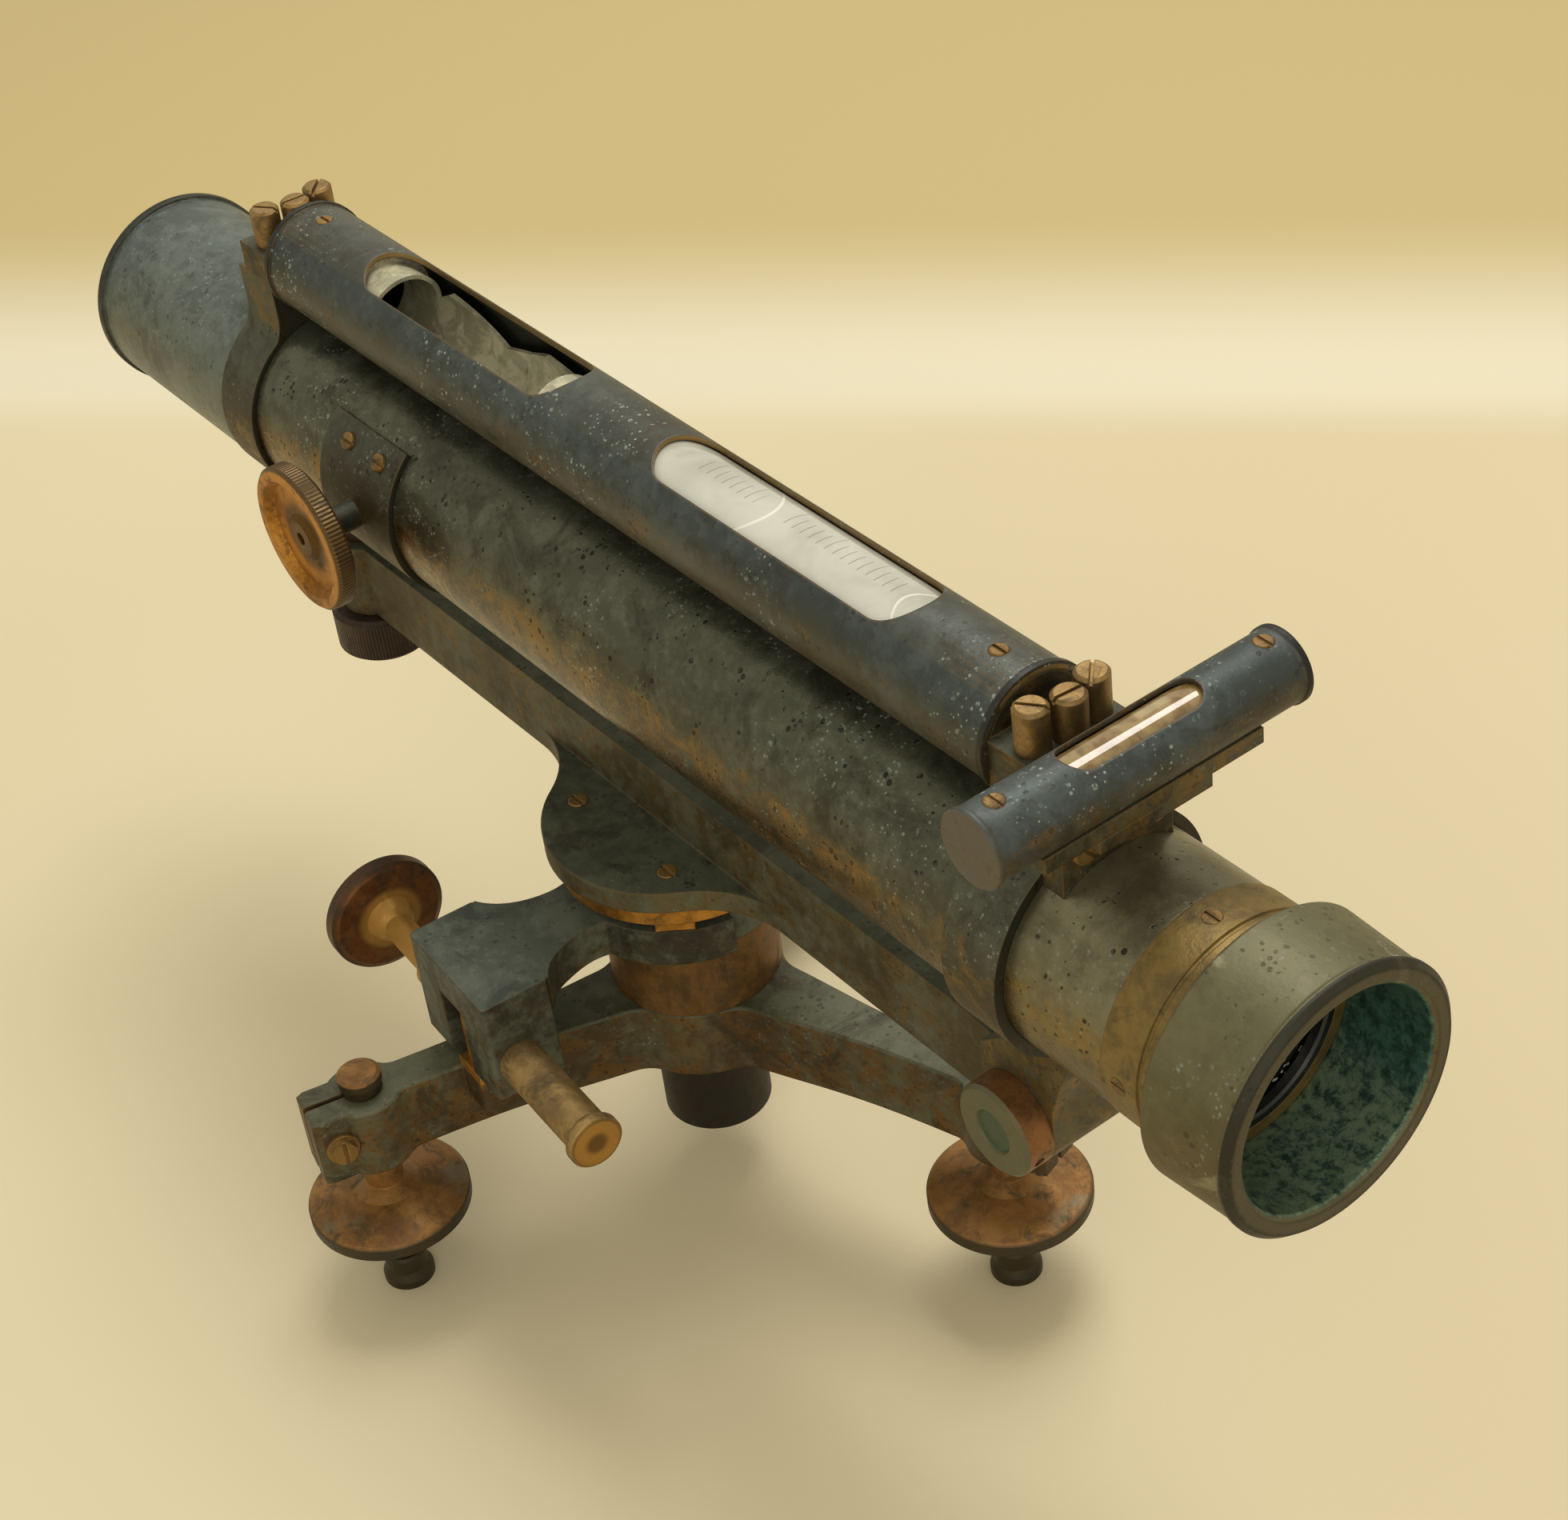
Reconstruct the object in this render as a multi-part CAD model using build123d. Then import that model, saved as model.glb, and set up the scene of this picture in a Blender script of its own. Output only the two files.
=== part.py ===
from build123d import *
import math
import os

# An antique surveyor's dumpy level with a tilting telescope.
# The origin is the mouth of the tripod socket, on the vertical axis. X runs along the telescope
# towards the objective, Y across it, Z up. All sizes are in millimetres.

# Fits, as clearance on the radius or on one side
RUNNING_FIT = 0.05
SIDE_FIT = 0.2
SEAT_GAP = 0.3

# Base: a three-armed casting that stands on three footscrews
SOCKET_DROP = 17.8
ARM_TOP = 44.8
ARM_DEPTH = 19.0
HUB_RADIUS = 20.6
HUB_BLEND = 9.0
TRIPOD_BOSS_RADIUS = 13.2
TRIPOD_THREAD_RADIUS = 8.0
TRIPOD_THREAD_DEPTH = 14.0
SOCKET_WEB = 3.5
ARM_ANGLES = (-102.6, 17.4, 137.4)
ARM_ROOT_WIDTH = 19.0
ARM_WAIST_WIDTH = 10.4
ARM_WAIST_REACH = 68.0
FOOT_REACH = 85.6
HEAD_RADIUS = 9.3
JAW_REACH = 100.1
JAW_WIDTH = 13.2
JAW_NOSE_WIDTH = 11.4
JAW_CHAMFER = 1.6
JAW_SPLIT = 1.4
PINCH_REACH = 94.4
PINCH_SCREW_RADIUS = 1.9
PINCH_HEAD_RADIUS = 2.9
PINCH_HEAD_HEIGHT = 2.0
PINCH_WASHER_RADIUS = 4.0
PINCH_WASHER_THICKNESS = 1.1
PINCH_DROP = 9.0

# Footscrews
FOOTSCREW_RADIUS = 4.6
FOOTSCREW_CAP_RADIUS = 5.2
FOOTSCREW_CAP_HEIGHT = 2.9
FOOTSCREW_RISE = 5.4
FOOT_KNOB_RADIUS = 19.5
FOOT_KNOB_EDGE = 5.2
FOOT_KNOB_CLEARANCE = 28.6
FOOT_KNOB_CONE = 3.6
FOOT_TIP_RADIUS = 3.6
FOOT_PAD_RADIUS = 6.2
FOOT_PAD_NECK_RADIUS = 5.2
FOOT_PAD_HEIGHT = 9.0
FOOT_PAD_FLOOR = 3.2

# Vertical axis
SPINDLE_RADIUS = 8.0
SPINDLE_HEAD_RADIUS = 12.0
AXIS_DRUM_HEIGHT = 22.4
CLAMP_NECK_RADIUS = 16.0
CLAMP_NECK_HEIGHT = 12.4
LIMB_DISC_RADIUS = 28.5
LIMB_DISC_THICKNESS = 6.0
LIMB_LUG_WIDTH = 9.0
LIMB_LUG_DEPTH = 1.7
LIMB_LUG_ANGLE = -38.0

# Clamp arm with its tangent screw and spring barrel
CLAMP_ANGLE = -94.0
CLAMP_THICKNESS = 9.9
CLAMP_COLLAR_RADIUS = 24.0
CLAMP_LIP_RADIUS = 27.6
CLAMP_LIP_START = -176.0
CLAMP_LIP_END = -10.0
CLAMP_NECK_WIDTH = 17.2
CLAMP_NECK_REACH = 31.0
BLOCK_INNER_DEPTH = 10.6
BLOCK_OUTER_DEPTH = 6.8
BLOCK_WIDTH = 34.6
BLOCK_HEIGHT = 27.6
BLOCK_ROOF = 9.2
BLOCK_SLOT_WIDTH = 10.4
BLOCK_FILLET = 1.2
TANGENT_REACH = 56.5
TANGENT_DROP = 18.6
TANGENT_SCREW_RADIUS = 3.2
TANGENT_SHOE_RADIUS = 2.4
TANGENT_SHOE_LENGTH = 2.8
TANGENT_SHANK_RADIUS = 1.5
TANGENT_SHANK_LENGTH = 4.0
TANGENT_COLLAR_RADIUS = 5.0
TANGENT_STEM_RADIUS = 3.6
TANGENT_STEM_LENGTH = 24.5
TANGENT_KNOB_RADIUS = 14.8
TANGENT_KNOB_THICKNESS = 5.0
TANGENT_HUB_RADIUS = 6.2
BARREL_RADIUS = 5.4
BARREL_LENGTH = 34.0
BARREL_END_RADIUS = 6.6
BARREL_END_LENGTH = 2.4
BARREL_SPIGOT_RADIUS = 4.3
BARREL_WALL = 1.4
PLUNGER_RADIUS = 2.4
PLUNGER_HEAD_LENGTH = 3.0
TONGUE_WIDTH = 5.0
TONGUE_DEPTH = 9.0
TONGUE_HEIGHT = 21.5
TONGUE_FOOT_WIDTH = 10.0
TONGUE_FOOT_DEPTH = 12.0
TONGUE_FOOT_HEIGHT = 2.6
TONGUE_PAD_HEIGHT = 9.0

# Limb: a deep bar on a round stage
STAGE_RADIUS = 30.6
STAGE_THICKNESS = 5.6
STAGE_BLEND = 26.0
STAGE_RISE = 6.0
STAGE_SCREW_X = 17.8
STAGE_SCREW_Y = 14.4
STAGE_SCREW_RADIUS = 1.6
STAGE_SCREW_HEAD = 2.4
BAR_THICKNESS = 10.0
BAR_HEIGHT = 20.5
BAR_END_TAPER = 11.0
BAR_EYE_RADIUS = 7.2
TILT_REACH = 131.9
TILT_BOSS_RADIUS = 9.0
TILT_SCREW_RADIUS = 3.0
TILT_PLUNGER_RADIUS = 5.4
TILT_PLUNGER_LENGTH = 20.7
TILT_HEAD_RADIUS = 12.7
TILT_HEAD_HEIGHT = 12.6
TILT_WEB = 2.1
TILT_TRAVEL = 2.8
TILT_FOOT_LIFT = 5.3

# Pivot of the telescope
PIVOT_X = 133.5
PIVOT_PIN_RADIUS = 4.0
PIVOT_HEAD_LENGTH = 7.0
PIVOT_HEAD_CHAMFER = 0.8
PIVOT_RECESS_RADIUS = 4.6
PIVOT_RECESS_DEPTH = 0.7
CAPSTAN_HOLE_RADIUS = 1.3
FORK_WIDTH = 20.8
FORK_BARREL_RADIUS = 10.6
FORK_FRONT_WALL = 3.0
FORK_SHOULDER_RISE = 13.0
FORK_FRONT_RISE = 8.0
FORK_SLOT_REACH = 20.0
FORK_SLOT_CLEARANCE = 2.0

# Telescope tubes
TUBE_CLEARANCE = 18.0
TUBE_RADIUS = 24.0
TUBE_WALL = 1.6
NEAR_COLLAR_OFFSET = 1.3
NEAR_COLLAR_LENGTH = 15.0
NEAR_COLLAR_RADIUS = 26.7
FAR_COLLAR_OFFSET = 5.3
FAR_COLLAR_LENGTH = 15.0
FAR_COLLAR_RADIUS = 25.3
NOSE_RADIUS = 24.3
NOSE_WALL = 1.8
NOSE_LENGTH = 26.3
CELL_RADIUS = 24.6
CELL_LENGTH = 14.0
CELL_BORE = 20.5
CELL_SPIGOT = 6.0
CELL_GROOVE = 9.2
HOOD_LENGTH = 21.3
HOOD_BACK_RADIUS = 28.7
HOOD_FRONT_RADIUS = 28.2
HOOD_BORE = 23.2
HOOD_BEAD = 2.7
HOOD_MOUTH_ROUND = 1.2
LENS_EDGE = 3.0
LENS_BULGE = 1.6
RETAINER_WALL = 2.0
RETAINER_LENGTH = 3.0
GUARD_LENGTH = 65.5
GUARD_RADIUS = 24.7
GUARD_WALL = 1.5
GUARD_LIP_RADIUS = 25.5
GUARD_LIP_LENGTH = 2.0

# Pedestals that carry the long level, and the far leg over the tilting screw
PEDESTAL_WIDTH = 24.0
PEDESTAL_FLARE = 32.0
PEDESTAL_FLARE_RISE = 8.5
PEDESTAL_TOP = 36.8
FAR_LEG_WIDTH = 18.0
FAR_LEG_FLARE = 30.0

# Focusing draw tube, rack and pinion
DRAW_RADIUS = 15.0
DRAW_WALL = 1.5
DRAW_REAR = -165.0
DRAW_FRONT = -14.0
GUIDE_LENGTH = 8.0
FRONT_GUIDE_X = -30.0
PINION_X = -79.5
GEAR_MODULE = 0.6
PINION_TEETH = 12
RACK_TEETH = 27
TOOTH_BACKLASH = 0.16
PRESSURE_ANGLE = 20.0
PINION_FACE = 4.6
PINION_SHAFT_RADIUS = 1.6
RACK_DEPTH = 3.6
PLATE_START = -94.0
PLATE_LENGTH = 30.4
PLATE_THICKNESS = 1.4
PLATE_UPPER_ANGLE = 49.0
PLATE_LOWER_ANGLE = -78.0
PLATE_SCREW_X = (-84.3, -70.9)
PLATE_SCREW_ANGLE = 37.0
PLATE_SCREW_RADIUS = 2.2
PLATE_SCREW_RISE = 1.0
BOSS_RADIUS = 3.5
BOSS_END = 33.0
KNOB_RADIUS = 18.0
KNOB_INNER_FACE = 35.7
KNOB_THICKNESS = 5.1
KNOB_RIM = 3.2
KNOB_DISH = 2.2
KNOB_HUB_RADIUS = 5.0

# Eyepiece and reticle
EYEPIECE_REAR = -181.0
EYEPIECE_INSERT = 18.0
EYEPIECE_WALL = 1.6
EYECUP_RADIUS = 17.0
EYECUP_LENGTH = 7.0
EYE_HOLE_RADIUS = 5.5
EYE_LENS_EDGE = 2.0
EYE_LENS_BULGE = 1.8
RETICLE_X = -138.0
RETICLE_LENGTH = 3.0
RETICLE_OPENING = 8.5

# Long level above the telescope
LEVEL_RISE = 40.3
LEVEL_RADIUS = 13.07
LEVEL_WALL = 1.2
LEVEL_START = -124.5
LEVEL_END = 134.7
LEVEL_LIP_RADIUS = 13.6
LEVEL_LIP_LENGTH = 1.4
FAR_WINDOW = (-90.0, -11.0)
NEAR_WINDOW = (22.5, 105.0)
LEVEL_WINDOW_WIDTH = 16.4
VIAL_RADIUS = 10.2
VIAL_WALL = 1.1
VIAL_OVERHANG = 9.0
PACKING_LENGTH = 7.0
LUG_THICKNESS = 7.5
LUG_LENGTH = 13.5
LUG_PLUG_LENGTH = 12.0
LEVEL_SCREW_INSET = 9.5
LEVEL_SCREW_HEAD = 2.0
NUT_RADIUS = 3.5
NUT_HEIGHT = 9.6
NUT_SLOT = 0.8
NUT_SLOT_DEPTH = 1.2
NUT_PITCH = 7.3
NUT_OFFSET = 7.4
NUT_STAGGER = 2.0
STUD_RADIUS = 2.1
STUD_DEPTH = 8.0

# Cross level on its bracket
CROSS_X = 160.7
CROSS_RISE = 49.4
CROSS_RADIUS = 7.5
CROSS_WALL = 1.0
CROSS_START = -37.7
CROSS_END = 36.1
CROSS_LIP_RADIUS = 7.9
CROSS_LIP_LENGTH = 1.2
CROSS_WINDOW_LENGTH = 31.7
CROSS_WINDOW_WIDTH = 8.6
CROSS_VIAL_RADIUS = 5.6
CROSS_VIAL_LENGTH = 46.0
CROSS_SCREW_Y = 31.5
CROSS_SCREW_HEAD = 2.0
CROSS_BASE_LENGTH = 52.0
CROSS_BASE_WIDTH = 11.0
CROSS_BASE_THICKNESS = 3.4
CROSS_BASE_OVERLAP = 1.6
BRACKET_WIDTH = 26.8
BRACKET_THICKNESS = 5.7
BRACKET_FLANGE = 2.8
BRACKET_FOOT_RISE = 15.0
BRACKET_SCREW_Y = 8.6
BRACKET_SCREW_RISE = 29.5
BRACKET_SCREW_HEAD = 2.9

# Places worked out from the sizes above
ARM_BOTTOM = ARM_TOP - ARM_DEPTH
DRUM_TOP = ARM_TOP + AXIS_DRUM_HEIGHT
NECK_TOP = DRUM_TOP + CLAMP_NECK_HEIGHT
DISC_BOTTOM = NECK_TOP + SEAT_GAP
STAGE_BOTTOM = DISC_BOTTOM + LIMB_DISC_THICKNESS
STAGE_TOP = STAGE_BOTTOM + STAGE_THICKNESS
BAR_TOP = STAGE_BOTTOM + BAR_HEIGHT
BAR_AXIS = STAGE_BOTTOM + BAR_HEIGHT / 2
CLAMP_BOTTOM = DRUM_TOP + SEAT_GAP
CLAMP_TOP = CLAMP_BOTTOM + CLAMP_THICKNESS
TANGENT_HEIGHT = CLAMP_TOP - TANGENT_DROP
BLOCK_INNER_REACH = TANGENT_REACH - BLOCK_INNER_DEPTH
BLOCK_OUTER_REACH = TANGENT_REACH + BLOCK_OUTER_DEPTH
TELESCOPE_HEIGHT = BAR_TOP + TUBE_CLEARANCE + TUBE_RADIUS
NEAR_COLLAR_START = PIVOT_X + NEAR_COLLAR_OFFSET
FAR_COLLAR_START = FAR_COLLAR_OFFSET - TILT_REACH
NEAR_COLLAR_END = NEAR_COLLAR_START + NEAR_COLLAR_LENGTH
NOSE_END = NEAR_COLLAR_END + NOSE_LENGTH
FAR_COLLAR_END = FAR_COLLAR_START - FAR_COLLAR_LENGTH
COLLAR_MIDDLE = (NEAR_COLLAR_START + NEAR_COLLAR_END) / 2
CELL_END = NOSE_END + CELL_LENGTH
HOOD_END = CELL_END + HOOD_LENGTH
GUARD_END = FAR_COLLAR_END - GUARD_LENGTH
LEVEL_HEIGHT = TELESCOPE_HEIGHT + LEVEL_RISE
CROSS_HEIGHT = TELESCOPE_HEIGHT + CROSS_RISE
PEDESTAL_HEIGHT = TELESCOPE_HEIGHT + PEDESTAL_TOP
LUG_TOP = PEDESTAL_HEIGHT + LUG_THICKNESS
PITCH_RADIUS = GEAR_MODULE * PINION_TEETH / 2
TUBE_BORE = TUBE_RADIUS - TUBE_WALL
FAR_LEG_FOOT = BAR_TOP + TILT_FOOT_LIFT + SEAT_GAP
CLAMP_FRAME = Plane((0, 0, 0), x_dir=(math.cos(math.radians(CLAMP_ANGLE)),
                                      math.sin(math.radians(CLAMP_ANGLE)), 0), z_dir=(0, 0, 1))


def rod(radius, start, end):
    """A round bar between two points."""
    line = Vector(*end) - Vector(*start)
    seat = Plane(origin=start, z_dir=line)
    return seat * Cylinder(radius, line.length, align=(Align.CENTER, Align.CENTER, Align.MIN))


def block(low, high):
    """A box between two corners."""
    size = [b - a for a, b in zip(low, high)]
    return Pos(*low) * Box(*size, align=(Align.MIN, Align.MIN, Align.MIN))


def turned(outline, origin=(0, 0, 0), direction=(0, 0, 1)):
    """A turned piece: (radius, height) points spun about a line through the origin."""
    profile = make_face(Plane.XZ * Polyline(*outline, close=True))
    return Plane(origin=origin, z_dir=direction) * revolve(profile, Axis.Z)


def pipe_x(outer, inner, start, end, height=TELESCOPE_HEIGHT):
    """A straight tube along X."""
    bored = rod(outer, (start, 0, height), (end, 0, height))
    return bored - rod(inner, (start - 1, 0, height), (end + 1, 0, height))


def slotted_head(radius, height, shank_radius=1.0, shank_length=0, slot=0.7, slot_depth=0.6):
    """A round-headed screw that stands on the XY plane with its shank below."""
    head = Pos(0, 0, height / 2) * Cylinder(radius, height)
    head = fillet(head.edges().sort_by(Axis.Z)[-1], min(0.35 * height, 0.5))
    if shank_length:
        head += Pos(0, 0, -shank_length / 2) * Cylinder(shank_radius, shank_length)
    return head - Pos(0, 0, height) * Box(3 * radius, slot, 2 * slot_depth)


def arm_outline():
    """Plan of one arm along X: waisted web, round head and narrow split jaws."""
    root, waist = ARM_ROOT_WIDTH / 2, ARM_WAIST_WIDTH / 2
    span = ARM_WAIST_REACH
    side = [(0, root), (0.3 * span, 0.95 * root), (0.62 * span, (root + 2.2 * waist) / 3.2), (span, waist)]
    upper = Spline(*side, tangents=((1, 0), (1, 0)))
    lower = Spline(*[(x, -y) for x, y in reversed(side)], tangents=((-1, 0), (-1, 0)))
    web = make_face([upper, Line(side[-1], (span, -waist)), lower, Line((0, -root), side[0])])
    shank = Pos((span + FOOT_REACH) / 2, 0) * Rectangle(FOOT_REACH - span, ARM_WAIST_WIDTH)
    head = Pos(FOOT_REACH, 0) * Circle(HEAD_RADIUS)
    jaw, nose = JAW_WIDTH / 2, JAW_NOSE_WIDTH / 2
    tip = JAW_REACH - JAW_CHAMFER
    jaws = Polygon((FOOT_REACH, -jaw), (tip, -jaw), (JAW_REACH, -nose), (JAW_REACH, nose), (tip, jaw),
                   (FOOT_REACH, jaw), align=None)
    return web + shank + head + jaws


def tribrach_casting():
    arm = arm_outline()
    plan = Circle(HUB_RADIUS)
    for angle in ARM_ANGLES:
        plan += Rot(0, 0, angle) * arm
    corners = [v for v in plan.vertices() if abs(Vector(v.X, v.Y, 0).length - HUB_RADIUS) < 0.5]
    plan = fillet(corners, HUB_BLEND)
    necks = [v for v in plan.vertices() if HEAD_RADIUS - 2 < FOOT_REACH - Vector(v.X, v.Y, 0).length
             < HEAD_RADIUS]
    plan = fillet(necks, HEAD_RADIUS / 2)
    body = Pos(0, 0, ARM_BOTTOM) * extrude(plan, ARM_DEPTH)
    body = chamfer(body.edges().group_by(Axis.Z)[-1], 0.6)
    body += rod(TRIPOD_BOSS_RADIUS, (0, 0, 0), (0, 0, ARM_BOTTOM + 1))
    pad = block((TANGENT_REACH - TONGUE_FOOT_DEPTH / 2, -TONGUE_FOOT_WIDTH, ARM_TOP - TONGUE_PAD_HEIGHT),
                (TANGENT_REACH + TONGUE_FOOT_DEPTH / 2, TONGUE_FOOT_WIDTH / 2, ARM_TOP))
    body += CLAMP_FRAME * fillet(pad.edges().filter_by(Axis.Z), 2.0)
    body -= rod(TRIPOD_THREAD_RADIUS, (0, 0, -1), (0, 0, TRIPOD_THREAD_DEPTH))
    body -= rod(SPINDLE_RADIUS + RUNNING_FIT, (0, 0, TRIPOD_THREAD_DEPTH + SOCKET_WEB), (0, 0, ARM_TOP + 1))
    for angle in ARM_ANGLES:
        body -= Rot(0, 0, angle) * head_cuts()
    return body


def head_cuts():
    """Footscrew bore, split, pinch-screw hole and washer seat of an arm along X."""
    bore = rod(FOOTSCREW_RADIUS + RUNNING_FIT, (FOOT_REACH, 0, ARM_BOTTOM - 1), (FOOT_REACH, 0, ARM_TOP + 1))
    split = block((FOOT_REACH, -JAW_SPLIT / 2, ARM_BOTTOM - 1), (JAW_REACH + 1, JAW_SPLIT / 2, ARM_TOP + 1))
    height = ARM_TOP - PINCH_DROP
    hole = rod(PINCH_SCREW_RADIUS, (PINCH_REACH, -JAW_WIDTH, height), (PINCH_REACH, JAW_WIDTH, height))
    seat = rod(PINCH_WASHER_RADIUS, (PINCH_REACH, JAW_WIDTH / 2, height), (PINCH_REACH, JAW_WIDTH, height))
    return bore + split + hole + seat


def pinch_screws():
    """Three screws that draw the split jaws on to the footscrews."""
    height = ARM_TOP - PINCH_DROP
    face = JAW_WIDTH / 2
    washer_top = face + PINCH_WASHER_THICKNESS
    screw = turned([(0, -face), (PINCH_SCREW_RADIUS, -face), (PINCH_SCREW_RADIUS, face),
                    (PINCH_WASHER_RADIUS, face), (PINCH_WASHER_RADIUS, washer_top),
                    (PINCH_HEAD_RADIUS, washer_top), (PINCH_HEAD_RADIUS, washer_top + PINCH_HEAD_HEIGHT),
                    (0, washer_top + PINCH_HEAD_HEIGHT)], (PINCH_REACH, 0, height), (0, 1, 0))
    slot_depth = PINCH_HEAD_HEIGHT / 2
    screw -= Pos(PINCH_REACH, washer_top + PINCH_HEAD_HEIGHT, height) * Box(0.8, slot_depth * 2, 3 * PINCH_HEAD_RADIUS)
    return [Rot(0, 0, angle) * screw for angle in ARM_ANGLES]


def axis_socket():
    """Brass drum on the hub with the neck that the clamp turns on."""
    outer = [(SPINDLE_RADIUS + RUNNING_FIT, ARM_TOP), (HUB_RADIUS, ARM_TOP), (HUB_RADIUS, DRUM_TOP - 0.8),
             (HUB_RADIUS - 0.8, DRUM_TOP), (CLAMP_NECK_RADIUS, DRUM_TOP), (CLAMP_NECK_RADIUS, NECK_TOP),
             (SPINDLE_RADIUS + RUNNING_FIT, NECK_TOP)]
    return turned(outer)


def tangent_tongue():
    """Fixed blade that the tangent screw and the spring bear on from both sides."""
    foot = block((TANGENT_REACH - TONGUE_FOOT_DEPTH / 2, -TONGUE_FOOT_WIDTH / 2, ARM_TOP),
                 (TANGENT_REACH + TONGUE_FOOT_DEPTH / 2, TONGUE_FOOT_WIDTH / 2, ARM_TOP + TONGUE_FOOT_HEIGHT))
    blade = block((TANGENT_REACH - TONGUE_DEPTH / 2, -TONGUE_WIDTH / 2, ARM_TOP),
                  (TANGENT_REACH + TONGUE_DEPTH / 2, TONGUE_WIDTH / 2, ARM_TOP + TONGUE_HEIGHT))
    blade = fillet(blade.edges().filter_by(Axis.X).sort_by(Axis.Z)[-2:], 1.5)
    return CLAMP_FRAME * (foot + blade)


def foot_pad():
    """Loose foot that the screw's tip turns in, for a screw on the Z axis."""
    floor = -SOCKET_DROP
    bore = FOOT_TIP_RADIUS + RUNNING_FIT
    seat = floor + FOOT_PAD_FLOOR
    top = floor + FOOT_PAD_HEIGHT
    return turned([(0, floor), (FOOT_PAD_RADIUS, floor), (FOOT_PAD_RADIUS, floor + 2.0),
                   (FOOT_PAD_NECK_RADIUS, floor + 4.2), (FOOT_PAD_NECK_RADIUS, top - 0.6),
                   (FOOT_PAD_NECK_RADIUS - 0.6, top), (bore, top), (bore, seat), (0, seat)])


def footscrew():
    """Levelling screw with its broad milled knob, on the Z axis."""
    knob_top = -SOCKET_DROP + FOOT_KNOB_CLEARANCE
    knob_bottom = knob_top - FOOT_KNOB_EDGE
    tip = -SOCKET_DROP + FOOT_PAD_FLOOR + SEAT_GAP
    shoulder = knob_bottom - 4.0
    cap_top = ARM_TOP + FOOTSCREW_RISE
    cap_bottom = cap_top - FOOTSCREW_CAP_HEIGHT
    outline = [(0, tip), (FOOT_TIP_RADIUS, tip), (FOOT_TIP_RADIUS, shoulder - 3.0),
               (FOOTSCREW_RADIUS, shoulder - 2.0), (FOOTSCREW_RADIUS, shoulder),
               (FOOT_KNOB_RADIUS * 0.45, knob_bottom - 1.6), (FOOT_KNOB_RADIUS - 2.4, knob_bottom),
               (FOOT_KNOB_RADIUS, knob_bottom + 1.6), (FOOT_KNOB_RADIUS, knob_top - 0.8),
               (FOOT_KNOB_RADIUS - 0.8, knob_top), (FOOTSCREW_RADIUS + 3.4, knob_top + FOOT_KNOB_CONE - 0.6),
               (FOOTSCREW_RADIUS, knob_top + FOOT_KNOB_CONE + 1.4), (FOOTSCREW_RADIUS, cap_bottom),
               (FOOTSCREW_CAP_RADIUS, cap_bottom), (FOOTSCREW_CAP_RADIUS, cap_top - 0.7),
               (FOOTSCREW_CAP_RADIUS - 0.9, cap_top), (0, cap_top)]
    return turned(outline)


def clamp_arm():
    """Collar round the neck with the waisted arm and the slotted block at its end."""
    neck, half = CLAMP_NECK_WIDTH / 2, BLOCK_WIDTH / 2
    root = math.sqrt(CLAMP_COLLAR_RADIUS ** 2 - (0.6 * CLAMP_COLLAR_RADIUS) ** 2)
    side = [(root, 0.6 * CLAMP_COLLAR_RADIUS), (CLAMP_NECK_REACH, neck), (BLOCK_INNER_REACH, half)]
    middle = (CLAMP_NECK_REACH + BLOCK_INNER_REACH) / 2
    points = [side[0], side[1], (middle, neck + 0.22 * (half - neck)), side[2]]
    upper = Spline(*points, tangents=((0.6, -0.8), (0.5, 0.87)))
    lower = Spline(*[(x, -y) for x, y in reversed(points)], tangents=((-0.5, 0.87), (-0.6, -0.8)))
    web = make_face([upper, Line(points[-1], (BLOCK_INNER_REACH, -half)), lower,
                     Line((side[0][0], -side[0][1]), side[0])])
    arm = Pos(0, 0, CLAMP_BOTTOM) * extrude(web + Circle(CLAMP_COLLAR_RADIUS), CLAMP_THICKNESS)
    body = CLAMP_FRAME * arm
    body += CLAMP_FRAME * clamp_block()
    body += clamp_lip()
    return body - rod(CLAMP_NECK_RADIUS + RUNNING_FIT, (0, 0, CLAMP_BOTTOM - 1), (0, 0, CLAMP_TOP + 1))


def clamp_block():
    half = BLOCK_WIDTH / 2
    bottom = CLAMP_TOP - BLOCK_HEIGHT
    shape = block((BLOCK_INNER_REACH, -half, bottom), (BLOCK_OUTER_REACH, half, CLAMP_TOP))
    shape = fillet(shape.edges().filter_by(Axis.Z), BLOCK_FILLET)
    slot = BLOCK_SLOT_WIDTH / 2
    shape -= block((BLOCK_INNER_REACH - 1, -slot, bottom - 1), (BLOCK_OUTER_REACH + 1, slot, CLAMP_TOP - BLOCK_ROOF))
    shape -= rod(TANGENT_SCREW_RADIUS + RUNNING_FIT, (TANGENT_REACH, -half - 1, TANGENT_HEIGHT),
                 (TANGENT_REACH, 0, TANGENT_HEIGHT))
    shape -= rod(BARREL_SPIGOT_RADIUS, (TANGENT_REACH, 0, TANGENT_HEIGHT),
                 (TANGENT_REACH, half + 1, TANGENT_HEIGHT))
    return shape


def clamp_lip():
    """Wider part of the collar, on the side of the arm only."""
    sweep_angle = CLAMP_LIP_END - CLAMP_LIP_START
    wedge = Pos(0, 0, CLAMP_BOTTOM) * Rot(0, 0, CLAMP_LIP_START) * Cylinder(
        CLAMP_LIP_RADIUS, CLAMP_THICKNESS, arc_size=sweep_angle, align=(Align.NONE, Align.NONE, Align.MIN))
    return wedge


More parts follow.
